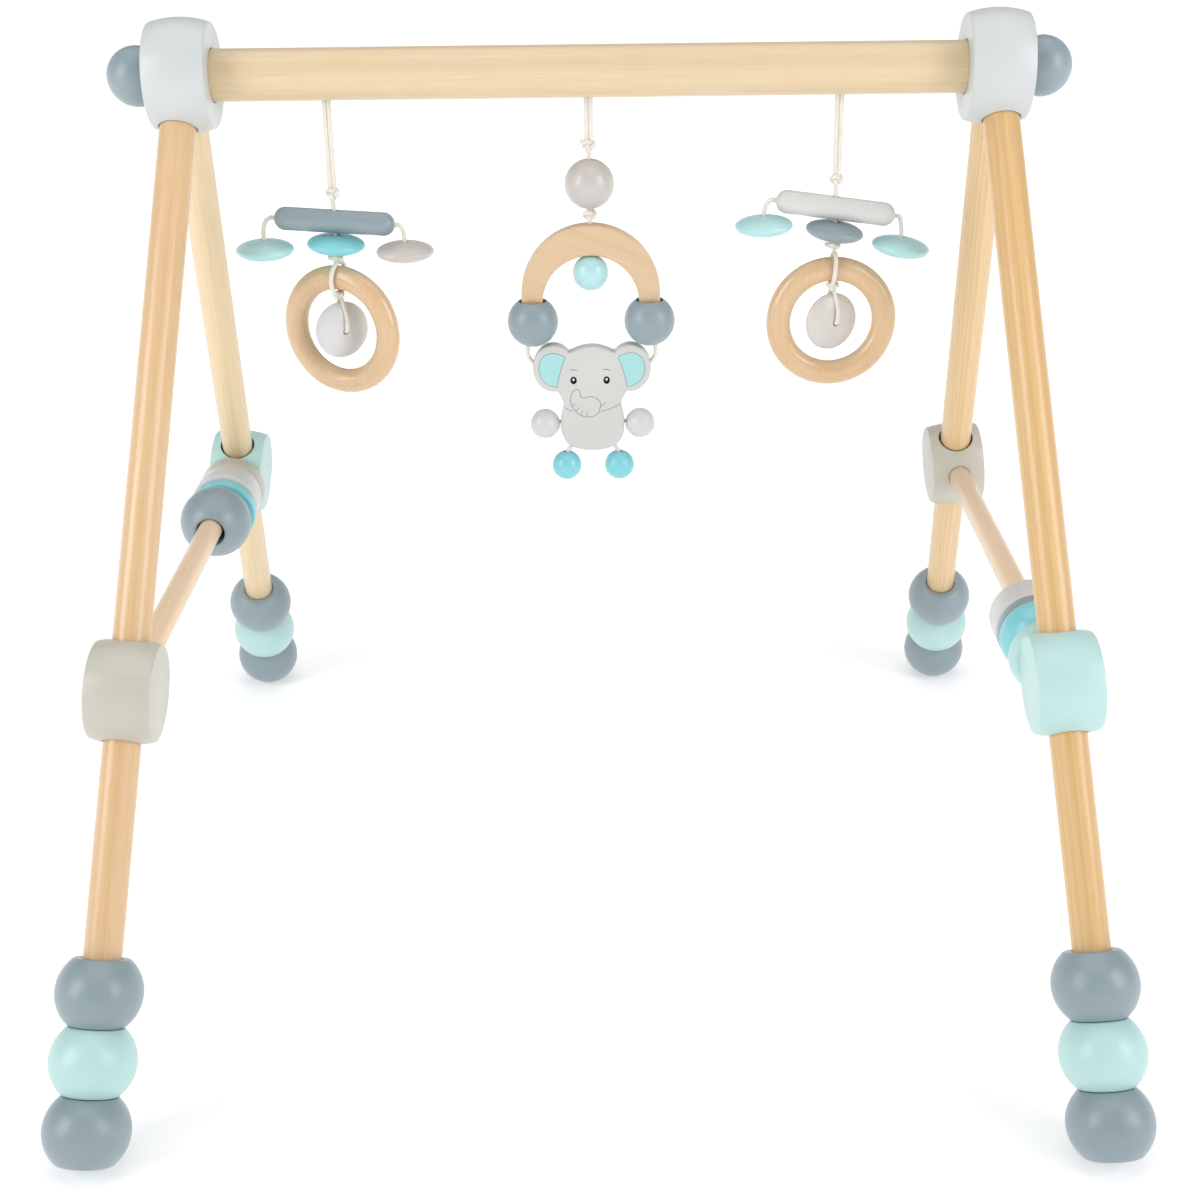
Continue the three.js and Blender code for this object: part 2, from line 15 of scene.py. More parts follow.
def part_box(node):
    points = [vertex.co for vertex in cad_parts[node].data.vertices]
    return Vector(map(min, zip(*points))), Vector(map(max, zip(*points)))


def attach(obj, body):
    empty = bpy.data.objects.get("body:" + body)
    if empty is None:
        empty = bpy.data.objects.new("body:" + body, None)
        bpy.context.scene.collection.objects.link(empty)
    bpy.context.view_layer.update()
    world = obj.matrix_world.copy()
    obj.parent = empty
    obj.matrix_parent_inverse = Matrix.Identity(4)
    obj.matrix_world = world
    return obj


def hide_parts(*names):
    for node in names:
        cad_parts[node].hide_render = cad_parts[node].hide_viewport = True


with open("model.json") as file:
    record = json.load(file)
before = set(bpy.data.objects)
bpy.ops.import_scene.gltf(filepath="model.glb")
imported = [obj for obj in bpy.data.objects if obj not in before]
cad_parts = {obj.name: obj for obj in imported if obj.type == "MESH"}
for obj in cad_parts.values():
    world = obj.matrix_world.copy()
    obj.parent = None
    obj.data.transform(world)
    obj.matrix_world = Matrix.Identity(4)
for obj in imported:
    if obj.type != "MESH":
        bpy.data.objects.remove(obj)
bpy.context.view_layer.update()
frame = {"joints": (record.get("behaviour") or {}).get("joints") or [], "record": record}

MM = 0.001
X_AXIS, Y_AXIS, Z_AXIS = Vector((1, 0, 0)), Vector((0, 1, 0)), Vector((0, 0, 1))

# ------------------------------------------------------------------ sizes

BAR_RADIUS = 15.5
LEG_RADIUS = 11
SIDE_BAR_RADIUS = 8
HUB = {"crown": 34, "face": 31, "thickness": 37, "wall": 4}
CONNECTOR = {"crown": 31, "face": 28.5, "thickness": 38}
END_BALL_RADIUS = 18
PEG = {"radius": 5, "length": 16}
FOOT_BALL = {"radius": 25, "half": 19.2, "pitch": 38.7}
LEG_PAST_CENTRE = 6
LEG_START = 21.3
GAP = 0.3
LEG_HOLE = 12.6
SOCKET = 11.7
PAST_CROWN = 8  # how far a drill goes on past the crown that it opens
BEAD = {"radius": 23.5, "bore": 10, "loose_bore": 13}
BEAD_BALL_RADIUS = 24.8
DOME_DEPTH = 21  # the dome's full depth, before its bore is taken out
LENS = {"radius": 18, "half": 6.2, "bore": 1.9}
THREADED_BORE = 2.5
ROD = {"radius": 7.2, "length": 75}
RING = {"middle": 33.6, "across": 7.6, "half": 6.5}
CENTER_BALL_RADIUS = 15.3
ARCH = {"outer": 43.6, "outer_centre": 425, "inner": 30.4, "inner_centre": 418.8, "foot": 409.5}
ARCH_HALF = 4.8
ARCH_BALL = {"radius": 16, "bottom": 15.7, "socket": 8.6}
EAR_CORD_X = 40.5  # toy's middle to where each ear cord leaves its ball
DROP_BALL_RADIUS = 11.2
LIMB_BALL = {"radius": 9.5, "bore": 1.9}
ELEPHANT_HALF = 4.5
FACE_LIFT = 1.5  # the face is drawn for a board this much lower

CORD_RADIUS = 1.45
KNOT_CORD_RADIUS = 1.5
LOOP_RADIUS = 1.4
SHORT_CORD_RADIUS = 1.35
CORD_HOLE = {"radius": 4.2, "depth": 5}
CORD_TOP = 3.5  # how far the cord's ends go up inside the bar
STRAND_OFFSET = 1.36  # middle of a doubled cord to either strand
MOBILE_KNOT_RISE = 16.7  # a rod's middle to the knot over it
CENTER_KNOT_RISE = 22.8  # the middle toy's ball to the knot over it

# ------------------------------------------------------------------ where things are


def middle(node):
    low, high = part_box(node)
    return (low + high) / 2


def joint(name):
    return next(j for j in frame["joints"] if j["name"] == name)


def joint_place(name):
    return Vector(joint(name)["pos_m"])


def axes(z_axis, x_hint):
    """A rotation whose Z axis is z_axis and whose X axis is as near x_hint as it can be."""
    z = z_axis.normalized()
    x = (x_hint - z * x_hint.dot(z)).normalized()
    return Matrix((x, z.cross(x), z)).transposed().to_4x4()


def placed(origin, z_axis=Z_AXIS, x_hint=X_AXIS):
    return Matrix.Translation(origin) @ axes(z_axis, x_hint)


# ------------------------------------------------------------------ camera


def add_camera():
    """Above and in front of the gym, a little to the right of its middle."""
    data = bpy.data.cameras.new("camera")
    data.sensor_width = 36
    data.lens = 55.5
    data.clip_end = 50
    camera = bpy.data.objects.new("camera", data)
    bpy.context.scene.collection.objects.link(camera)
    yaw, pitch, roll = 0.008, -0.423, -0.013
    turn = (
        Matrix.Rotation(yaw, 4, "Z")
        @ Matrix.Rotation(math.pi / 2 + pitch, 4, "X")
        @ Matrix.Rotation(roll, 4, "Z")
    )
    camera.matrix_world = Matrix.Translation((0.0119, -1.1433, 0.7269)) @ turn
    bpy.context.scene.camera = camera


add_camera()

# ------------------------------------------------------------------ materials


def rgb(text):
    """An sRGB hex colour as the linear colour that a shader takes."""
    channels = [int(text[i : i + 2], 16) / 255 for i in (0, 2, 4)]
    linear = [c / 12.92 if c <= 0.04045 else ((c + 0.055) / 1.055) ** 2.4 for c in channels]
    return (*linear, 1)


class Nodes:
    """A short way to write a material's nodes."""

    def __init__(self, name):
        self.material = bpy.data.materials.new(name)
        self.material.use_nodes = True
        self.tree = self.material.node_tree
        self.shader = self.tree.nodes["Principled BSDF"]

    def add(self, kind, inputs=(), **settings):
        node = self.tree.nodes.new("ShaderNode" + kind)
        for key, value in settings.items():
            setattr(node, key, value)
        for key, value in dict(inputs).items():
            self.join(value, node.inputs[key])
        return node

    def join(self, value, socket):
        if isinstance(value, bpy.types.NodeSocket):
            self.tree.links.new(value, socket)
        else:
            socket.default_value = value

    def set(self, **inputs):
        for key, value in inputs.items():
            self.join(value, self.shader.inputs[key.replace("_", " ").title().replace("Ior", "IOR")])

    def own_place(self):
        """The piece's own coordinates, moved by a random amount for each piece."""
        coordinates = self.add("TexCoord").outputs["Object"]
        chance = self.add("ObjectInfo").outputs["Random"]
        return self.add("VectorMath", {0: coordinates, 1: chance}, operation="ADD").outputs[0]

    def stretched(self, place, scale, turn=(0, 0, 0)):
        inputs = {"Vector": place, "Scale": scale, "Rotation": turn}
        return self.add("Mapping", inputs).outputs[0]

    def noise(self, place, scale, detail=2, roughness=0.5, distortion=0):
        inputs = {
            "Vector": place,
            "Scale": scale,
            "Detail": detail,
            "Roughness": roughness,
            "Distortion": distortion,
        }
        return self.add("TexNoise", inputs).outputs["Fac"]

    def spread(self, value, low, high, to_low, to_high):
        inputs = {
            "Value": value,
            "From Min": low,
            "From Max": high,
            "To Min": to_low,
            "To Max": to_high,
        }
        return self.add("MapRange", inputs).outputs[0]

    def mix(self, factor, a, b, blend_type="MIX"):
        node = self.add("Mix", data_type="RGBA", blend_type=blend_type)
        for socket, value in ((0, factor), (6, a), (7, b)):
            self.join(value, node.inputs[socket])
        return node.outputs[2]

    def bump(self, height, strength, distance, under=None):
        inputs = {"Height": height, "Strength": strength, "Distance": distance}
        if under:
            inputs["Normal"] = under
        return self.add("Bump", inputs).outputs[0]


def painted(name, color, edge, roughness=0.42, sheen=0.2):
    """Satin paint on turned wood: faint grain under the coat, brushed unevenness, worn corners.

    A smaller sheen is a sharper gloss.
    """
    n = Nodes(name)
    place = n.own_place()
    broad = n.noise(place, 28, detail=2)
    grain = n.noise(n.stretched(place, (260, 260, 22)), 1, detail=4, roughness=0.6)
    peel = n.noise(place, 900, detail=2)
    corner = n.spread(n.add("NewGeometry").outputs["Pointiness"], 0.53, 0.62, 0, 0.55)
    tone = n.mix(n.spread(broad, 0.3, 0.7, 0, 1), rgb(color), rgb(edge))
    shade = n.mix(n.spread(broad, 0.25, 0.75, 0.0, 0.16), rgb(color), tone)
    fibres = n.mix(n.spread(grain, 0.35, 0.8, 0, 0.07), shade, rgb(edge))
    worn = n.mix(corner, fibres, rgb(edge))
    n.set(base_color=worn, roughness=n.spread(grain, 0.2, 0.8, roughness - 0.05, roughness + 0.07))
    n.set(specular_ior_level=0.5, coat_weight=0.4, coat_roughness=sheen)
    low = n.bump(grain, 0.10, 0.0004)
    n.set(normal=n.bump(peel, 0.10, 0.00012, low))
    return n.material


def wood(name, light, dark, streak, rings, gloss=0.36, ring_step=3.2, turn=(0, 0, 0)):
    """Lacquered pale wood: growth rings and fine fibres along the piece's own turned Z axis."""
    n = Nodes(name)
    place = n.stretched(n.own_place(), (1, 1, 1), turn)
    long_way = n.stretched(place, (1, 1, 0.045), turn=(0.016, 0.012, 0))
    pith = n.add("VectorMath", {0: long_way, 1: (0.031, 0.012, 0.0)}, operation="ADD").outputs[0]
    wave = n.add(
        "TexWave",
        {
            "Vector": pith,
            "Scale": 2 * math.pi / (20 * ring_step * MM),
            "Distortion": 2.2,
            "Detail": 2.5,
            "Detail Scale": 0.35,
            "Detail Roughness": 0.55,
        },
        wave_type="RINGS",
        rings_direction="Z",
        wave_profile="SAW",
    ).outputs["Fac"]
    fibre = n.noise(n.stretched(place, (1400, 1400, 34)), 1, detail=4, roughness=0.65)
    board = n.noise(n.stretched(place, (70, 70, 5)), 1, detail=3, roughness=0.5)
    ring = n.spread(wave, 0.25, 1.0, 0, rings)
    own = n.add("ObjectInfo").outputs["Random"]
    mixed = n.add("Math", {0: board, 1: own}, operation="ADD").outputs[0]
    tone = n.mix(n.spread(mixed, 0.55, 1.45, 0, 1), rgb(light), rgb(dark))
    ringed = n.mix(ring, tone, rgb(streak))
    color = n.mix(n.spread(fibre, 0.42, 0.78, 0, 0.45), ringed, rgb(streak))
    n.set(base_color=color, roughness=n.spread(fibre, 0.2, 0.8, gloss - 0.05, gloss + 0.12))
    n.set(specular_ior_level=0.5, coat_weight=0.5, coat_roughness=0.2)
    n.set(normal=n.bump(fibre, 0.16, 0.0002))
    return n.material


def cord_fibre(name, color, blotch_and_groove_shade):
    """Matt braided cotton: the braid is in the mesh, and this adds its fibres, darker blotches and
    painted shade in the braid's grooves.
    """
    n = Nodes(name)
    place = n.own_place()
    fibre = n.noise(n.stretched(place, (1, 1, 0.35)), 4200, detail=3, roughness=0.7)
    blotch = n.noise(place, 260, detail=2)
    # Painted shade: the braid's grooves (low pointiness) are darkened towards the shade colour.
    groove = n.spread(n.add("NewGeometry").outputs["Pointiness"], 0.42, 0.52, 0.55, 0)
    base = n.mix(n.spread(blotch, 0.35, 0.7, 0, 0.3), rgb(color), rgb(blotch_and_groove_shade))
    n.set(base_color=n.mix(groove, base, rgb(blotch_and_groove_shade)))
    n.set(roughness=0.86, sheen_weight=0.25, sheen_roughness=0.5)
    n.set(normal=n.bump(fibre, 0.5, 0.0003))
    return n.material


def printed(name, color, roughness=0.4, lift=0.02):
    """Ink printed on the painted board, a little uneven in its coverage."""
    n = Nodes(name)
    cover = n.noise(n.own_place(), 700, detail=3)
    lighter = tuple(min(1, c * 1.5 + lift) for c in rgb(color)[:3]) + (1,)
    n.set(base_color=n.mix(n.spread(cover, 0.35, 0.75, 0, 0.5), rgb(color), lighter))
    n.set(roughness=roughness, specular_ior_level=0.25)
    n.set(normal=n.bump(cover, 0.05, 0.0001))
    return n.material


def glowing_floor_paper(name):
    """White paper that glows as painted light, more and more away from the gym, to look like a lit
    studio sweep.
    """
    n = Nodes(name)
    place = n.add("TexCoord").outputs["Object"]
    tooth = n.noise(place, 900, detail=2)
    n.set(base_color=n.mix(n.spread(tooth, 0.3, 0.7, 0, 1), rgb("f2f2f2"), rgb("f5f5f5")))
    distance = n.add("VectorMath", {0: place}, operation="LENGTH").outputs["Value"]
    # Painted light: the floor glows, weakly near the gym and more strongly further away.
    n.set(emission_strength=n.spread(distance, 0.6, 2.6, 0.32, 0.80))
    n.set(emission_color=(1, 1, 1, 1), roughness=0.9, specular_ior_level=0.1)
    return n.material


ACROSS = (math.pi / 2, 0, 0)  # grain across a turned piece, as in one cut from a board
SLANTED = (0, math.radians(68), 0)

MATERIALS = {
    "bar_wood": wood("bar_wood", "decfb3", "dbc5a0", "caab80", 0.18, ring_step=5.5),
    "leg_wood": wood("leg_wood", "e2c69c", "ddb880", "c4935a", 0.34, ring_step=4.6),
    "side_bar_wood": wood("side_bar_wood", "edd7bc", "ebcfae", "d6b28c", 0.14),
    "beech": wood("beech", "dcc19f", "d8b68d", "bd9467", 0.11, gloss=0.22, turn=ACROSS),
    "hub_grey": painted("hub_grey", "c4c9c9", "dadedd", 0.44, 0.3),
    "slate": painted("slate", "87989f", "a6b4ba", 0.4, 0.29),
    "mint": painted("mint", "b3d8d6", "d0ebe8", 0.42, 0.3),
    "cyan": painted("cyan", "7ac9d3", "a3dfe6", 0.30),
    "aqua": painted("aqua", "abd7da", "c6ebea", 0.32),
    "light_grey": painted("light_grey", "cccccb", "e0e0de", 0.36),
    "warm_grey": painted("warm_grey", "bebbaf", "d6d3c9", 0.40, 0.3),
    "mauve_grey": painted("mauve_grey", "c0bbb7", "d8d4d0", 0.34),
    "cord": cord_fibre("cord", "e7e4da", "d2cdbf"),
}
LEG_WOOD = {
    "front_left": wood("leg_wood_tan", "dfc19a", "dbb483", "c99963", 0.18, ring_step=6.5),
    "front_right": MATERIALS["leg_wood"],
    "rear_left": wood("leg_wood_pale", "e8d5b3", "e3caa0", "d3b380", 0.20),
    "rear_right": wood("leg_wood_straw", "e7d0a8", "e1c08f", "c99f64", 0.30, ring_step=2.6),
}
# Painted light: the ring lenses' paints are copies of light_grey and mauve_grey made lighter, to
# brighten lenses that the lamps leave too dark.
LENS_PAINT_PAINTED_LIGHT = {
    "mobile_left": painted("lens_paint_grey_lightened", "d3d4d4", "e6e6e5", 0.34),
    "mobile_right": painted("lens_paint_mauve_lightened", "cec9c5", "e0dcd8", 0.34),
}
ARCH_WOOD = wood("arch_wood", "d5ba96", "d1af87", "c09a72", 0.16, ring_step=9, turn=SLANTED)
# Painted shade: the elephant's board takes a copy of light_grey made a little darker.
BOARD_PAINT_PAINTED_SHADE = painted("board_paint_shaded", "c5c5c3", "dededc", 0.42, 0.3)
INK = printed("ink_line", "66686a", 0.6)
EYE_INK = printed("ink_eye", "060606", 0.6, lift=0)
GLINT = printed("ink_glint", "fafaf8", 0.3)
EAR_PAINT = painted("ear_paint", "92cbcb", "aedcdc", 0.36)

# ------------------------------------------------------------------ meshes


def link(name, mesh, matrix=None):
    obj = bpy.data.objects.new(name, mesh)
    bpy.context.scene.collection.objects.link(obj)
    if matrix:
        obj.matrix_world = matrix
    return obj


def closed_mesh(name, bm):
    """The finished mesh, with its faces turned outwards."""
    bmesh.ops.recalc_face_normals(bm, faces=bm.faces)
    mesh = bpy.data.meshes.new(name)
    bm.to_mesh(mesh)
    bm.free()
    return mesh


def smooth(mesh, angle=38):
    mesh.shade_smooth()
    mesh.set_sharp_from_angle(angle=math.radians(angle))


def soften(mesh, width, angle=38, segments=3):
    """Rounds every corner sharper than the angle."""
    bm = bmesh.new()
    bm.from_mesh(mesh)
    bm.normal_update()
    corners = [
        e for e in bm.edges if len(e.link_faces) == 2 and e.calc_face_angle() > math.radians(angle)
    ]
    bmesh.ops.bevel(
        bm,
        geom=corners,
        offset=width * MM,
        segments=segments,
        profile=0.5,
        affect="EDGES",
        clamp_overlap=True,
    )
    bm.to_mesh(mesh)
    bm.free()


def arc(centre, across, up, start, stop, steps):
    """Points of an ellipse about (centre, 0) from one angle to another, in degrees."""
    angles = [math.radians(start + (stop - start) * i / steps) for i in range(steps + 1)]
    return [(centre + across * math.cos(a), up * math.sin(a)) for a in angles]


def turned(name, profile, matrix, edge=0.0, sides=96):
    """A closed piece: the (radius, height) profile turned about Z, its corners rounded by edge.

    A profile that starts and ends on the axis is closed by it; any other joins its two ends.
    """
    solid = profile[0][0] == 0
    bm = bmesh.new()
    rings = []
    for radius, height in profile:
        if radius == 0:
            rings.append([bm.verts.new((0, 0, height * MM))] * sides)
            continue
        turn = [2 * math.pi * i / sides for i in range(sides)]
        spots = [(radius * math.cos(a) * MM, radius * math.sin(a) * MM, height * MM) for a in turn]
        rings.append([bm.verts.new(spot) for spot in spots])
    pairs = list(zip(rings, rings[1:])) + ([] if solid else [(rings[-1], rings[0])])
    for low, high in pairs:
        for i in range(sides):
            j = (i + 1) % sides
            corners = [low[i], low[j], high[j], high[i]]
            unique = [v for k, v in enumerate(corners) if v not in corners[:k]]
            if len(unique) > 2:
                bm.faces.new(unique)
    mesh = closed_mesh(name, bm)
    if edge:
        soften(mesh, edge)
    smooth(mesh)
    return link(name, mesh, matrix)


def drill(start, stop, radius, sides=64):
    """A rod to cut with, from one place to another, both in metres."""
    length = (stop - start).length / MM
    hint = X_AXIS if abs((stop - start).normalized().x) < 0.8 else Y_AXIS
    matrix = placed(start, stop - start, hint)
    return turned("drill", rod_profile(radius, 0, length), matrix, sides=sides)


def cut(piece, *drills, edge=0.0):
    """Takes the drills out of the piece, rounds the new corners and deletes the drills."""
    for tool in drills:
        modifier = piece.modifiers.new("cut", "BOOLEAN")
        modifier.operation = "DIFFERENCE"
        modifier.solver = "EXACT"
        modifier.object = tool
    bpy.context.view_layer.update()
    shown = piece.evaluated_get(bpy.context.evaluated_depsgraph_get())
    mesh = bpy.data.meshes.new_from_object(shown)
    piece.modifiers.clear()
    piece.data = mesh
    for tool in drills:
        bpy.data.objects.remove(tool)
    if edge:
        soften(mesh, edge, segments=2)
    smooth(mesh)
    return piece


def show(piece, body, slot, *nodes, material=None):
    """Gives a piece its finish and its body, and hides the CAD nodes that it stands for."""
    piece.data.materials.clear()
    piece.data.materials.append(material or MATERIALS[slot])
    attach(piece, body)
    if nodes:
        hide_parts(*nodes)
    return piece


# ------------------------------------------------------------------ profiles


def flat_angle(half, radius):
    return math.degrees(math.asin(half / radius))


def rod_profile(radius, start, stop):
    return [(0, start), (radius, start), (radius, stop), (0, stop)]


def ball_profile(radius, half, bore, steps=40):
    end = flat_angle(half, radius)
    return [(bore, -half), *arc(0, radius, radius, -end, end, steps), (bore, half)]


def barrel_profile(size, bore, steps=20):
    half = size["thickness"] / 2
    bulge = size["crown"] - size["face"]
    rim = (bulge**2 + half**2) / (2 * bulge)
    end = flat_angle(half, rim)
    outer = arc(size["crown"] - rim, rim, rim, -end, end, steps)
    return [(bore, -half), *outer, (bore, half)]


def disc_profile(radius, thickness, bore):
    half = thickness / 2
    return [(bore, -half), (radius, -half), (radius, half), (bore, half)]


def lens_profile(radius, half, bore, steps=48):
    end = math.degrees(math.acos(bore / radius))
    return arc(0, radius, half, -end, end, steps)


# ------------------------------------------------------------------ stand


def add_top_bar():
    low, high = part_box("top_bar")
    half = (high.x - low.x) / 2 / MM
    centre = middle("top_bar")
    profile = rod_profile(BAR_RADIUS, -half, half)
    bar = turned("top_bar_wood", profile, placed(centre, X_AXIS, Z_AXIS), edge=0.6, sides=128)
    holes = []
    for swing in ("mobile_left_swing", "center_swing", "mobile_right_swing"):
        mouth = joint_place(swing)
        deep = mouth + Z_AXIS * CORD_HOLE["depth"] * MM
        holes.append(drill(mouth - Z_AXIS * 2 * MM, deep, CORD_HOLE["radius"]))
    show(cut(bar, *holes), "stand", "bar_wood", "top_bar")


def leg_axis(foot):
    mount = next(m for m in frame["record"]["mounts"] if m["name"] == foot)
    return Vector(mount["pos_m"]), Vector(mount["axis"]).normalized()


def add_hub(side, sign):
    centre = middle(f"hub_{side}")
    hub = turned(
        f"hub_{side}_painted",
        hub_profile(),
        placed(centre, X_AXIS * sign, Z_AXIS),
        edge=0.9,
        sides=128,
    )
    sockets = []
    for end in ("front", "rear"):
        down = leg_axis(f"foot_{end}_{side}")[1]
        start = centre + down * (LEG_START - GAP) * MM
        sockets.append(drill(start, centre + down * (HUB["crown"] + PAST_CROWN) * MM, SOCKET))
    show(cut(hub, *sockets), "stand", "hub_grey", f"hub_{side}")


def hub_profile():
    """A barrel with a blind bore for the bar from its inner face; its outer face is at +Z."""
    wall = HUB["wall"] - GAP
    peg_hole = PEG["radius"] + GAP
    half = HUB["thickness"] / 2
    bore = BAR_RADIUS + GAP
    outer = barrel_profile(HUB, bore)[1:-1]
    return [(bore, -half), *outer, (peg_hole, half), (peg_hole, half - wall), (bore, half - wall)]


def add_end_ball(side, sign):
    low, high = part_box(f"end_ball_{side}")
    tip = high.x if sign > 0 else low.x
    height = middle(f"end_ball_{side}").z
    centre = Vector((tip - sign * END_BALL_RADIUS * MM, 0, height))
    hub_low, hub_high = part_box(f"hub_{side}")
    face = (hub_high.x if sign > 0 else -hub_low.x) / MM + GAP
    seat = face - abs(centre.x) / MM
    start = flat_angle(seat, END_BALL_RADIUS)
    profile = [
        (0, seat - PEG["length"]),
        (PEG["radius"], seat - PEG["length"]),
        (PEG["radius"], seat),
        *arc(0, END_BALL_RADIUS, END_BALL_RADIUS, start, 90, 36)[:-1],
        (0, END_BALL_RADIUS),
    ]
    matrix = placed(centre, X_AXIS * sign, Z_AXIS)
    ball = turned(f"end_ball_{side}_painted", profile, matrix, edge=0.5)
    show(ball, "stand", "slate", f"end_ball_{side}")


def add_leg(side, end, paint):
    which = f"{end}_{side}"
    flat, down = leg_axis(f"foot_{which}")
    lowest = flat - down * FOOT_BALL["half"] * MM
    hub = middle(f"hub_{side}")
    top = hub + down * LEG_START * MM
    bottom = lowest + down * LEG_PAST_CENTRE * MM
    length = (bottom - top).length / MM
    profile = rod_profile(LEG_RADIUS, 0, length)
    leg = turned(f"leg_{which}_wood", profile, placed(top, down, X_AXIS), edge=0.7, sides=72)
    show(leg, "stand", "leg_wood", f"leg_{which}", material=LEG_WOOD[which])
    add_connector(side, end, down, paint)
    add_foot_balls(which, lowest, down)


def add_connector(side, end, down, paint):
    """A barrel drilled right through for the leg, with a blind socket for the side bar."""
    which = f"{end}_{side}"
    outward = Y_AXIS if end == "rear" else -Y_AXIS
    centre = middle(f"connector_{which}")
    across = down.cross(Y_AXIS).normalized()
    matrix = placed(centre, across, down)
    disc = turned(
        f"connector_{which}_painted", barrel_profile(CONNECTOR, 0), matrix, edge=1.0, sides=128
    )
    reach = (CONNECTOR["crown"] + PAST_CROWN) * MM
    hole = drill(centre - down * reach, centre + down * reach, LEG_HOLE)
    bar_low, bar_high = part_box(f"side_bar_{side}")
    bar_end = bar_high.y if end == "rear" else -bar_low.y
    start = centre - outward * (abs(centre.y) - bar_end - GAP * MM)
    socket = drill(start, centre - outward * reach, SIDE_BAR_RADIUS + GAP)
    show(cut(disc, hole, socket), "stand", paint, f"connector_{which}")


def add_foot_balls(which, lowest, down):
    """Three balls up the leg from the lowest one's middle; the bottom one's bore is blind."""
    for step, (level, slot) in enumerate((("bottom", "slate"), ("middle", "mint"), ("top", "slate"))):
        place = lowest - down * FOOT_BALL["pitch"] * step * MM
        radius, half = FOOT_BALL["radius"], FOOT_BALL["half"]
        profile = ball_profile(radius, half, LEG_RADIUS + GAP)
        if level == "bottom":
            end_angle = flat_angle(half, radius)
            bore = LEG_RADIUS + GAP
            floor = LEG_PAST_CENTRE + GAP
            outer = arc(0, radius, radius, -end_angle, end_angle, 40)
            profile = [(0, floor), (bore, floor), (bore, -half), *outer, (0, half)]
        ball = turned(f"foot_{level}_{which}_painted", profile, placed(place, down, X_AXIS), edge=0.7)
        show(ball, "stand", slot, f"foot_{level}_{which}")


def add_side_bar(side):
    low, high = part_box(f"side_bar_{side}")
    half = (high.y - low.y) / 2 / MM
    profile = rod_profile(SIDE_BAR_RADIUS, -half, half)
    matrix = placed(middle(f"side_bar_{side}"), Y_AXIS, Z_AXIS)
    bar = turned(f"side_bar_{side}_wood", profile, matrix, edge=0.6, sides=64)
    show(bar, "stand", "side_bar_wood", f"side_bar_{side}")


# ------------------------------------------------------------------ side beads


def add_side_bead(node, slot, profile, edge):
    bead = turned(f"{node}_painted", profile, placed(middle(node), Y_AXIS, Z_AXIS), edge=edge)
    show(bead, node, slot, node)


def thickness(node):
    low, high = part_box(node)
    return (high.y - low.y) / MM


def dome_profile(radius, half, bore):
    """Flat at the back (+Z), domed at the front."""
    end = math.degrees(math.acos(bore / radius))
    front = [(r, h + half) for r, h in arc(0, radius, DOME_DEPTH, -end, 0, 36)]
    return [*front, (bore, half)]


def add_side_beads():
    radius, bore = BEAD["radius"], BEAD["bore"]
    for node, slot, hole in (
        ("last_disc_left", "warm_grey", bore),
        ("thick_disc_left", "light_grey", bore),
        ("thin_disc_left", "cyan", BEAD["loose_bore"]),
        ("thin_disc_right", "slate", bore),
        ("sliding_disc_right", "light_grey", bore),
    ):
        add_side_bead(node, slot, disc_profile(radius, thickness(node), hole), 1.4)
    ball = ball_profile(BEAD_BALL_RADIUS, thickness("sliding_ball_left") / 2, bore)
    add_side_bead("sliding_ball_left", "slate", ball, 1.0)
    dome = dome_profile(radius, thickness("dome_bead_right") / 2, bore)
    add_side_bead("dome_bead_right", "cyan", dome, 0.9)
    half = thickness("round_bead_right") / 2
    rim = [(radius - 7 + r, h) for r, h in arc(0, 7, half, -90, 90, 24)]
    add_side_bead("round_bead_right", "mint", [(bore, -half), *rim, (bore, half)], 0.9)


# ------------------------------------------------------------------ cords


def curve_points(knots, step=0.4):
    """A smooth line through the given points, in millimetres, at even steps."""
    line = []
    ends = [2 * knots[0] - knots[1], *knots, 2 * knots[-1] - knots[-2]]
    for a, b, c, d in zip(ends, ends[1:], ends[2:], ends[3:]):
        count = max(2, round((c - b).length / 0.1))
        for i in range(count):
            t = i / count
            line.append(
                0.5
                * (
                    2 * b
                    + (c - a) * t
                    + (2 * a - 5 * b + 4 * c - d) * t * t
                    + (3 * b - a - 3 * c + d) * t * t * t
                )
            )
    line.append(knots[-1])
    even, walked = [line[0]], 0.0
    for a, b in zip(line, line[1:]):
        walked += (b - a).length
        if walked >= step:
            even.append(b)
            walked = 0.0
    if walked > step / 2 or len(even) < 3:
        even.append(line[-1])
    return even


def braid(around, along):
    """How far the braid stands out, from 0 in a groove to 1 on a strand."""
    strands, pitch = 4, 5.2
    left = math.cos(strands * around + 2 * math.pi * strands * along / pitch / 2)
    right = math.cos(strands * around - 2 * math.pi * strands * along / pitch / 2)
    return max(abs(left), abs(right)) ** 0.6


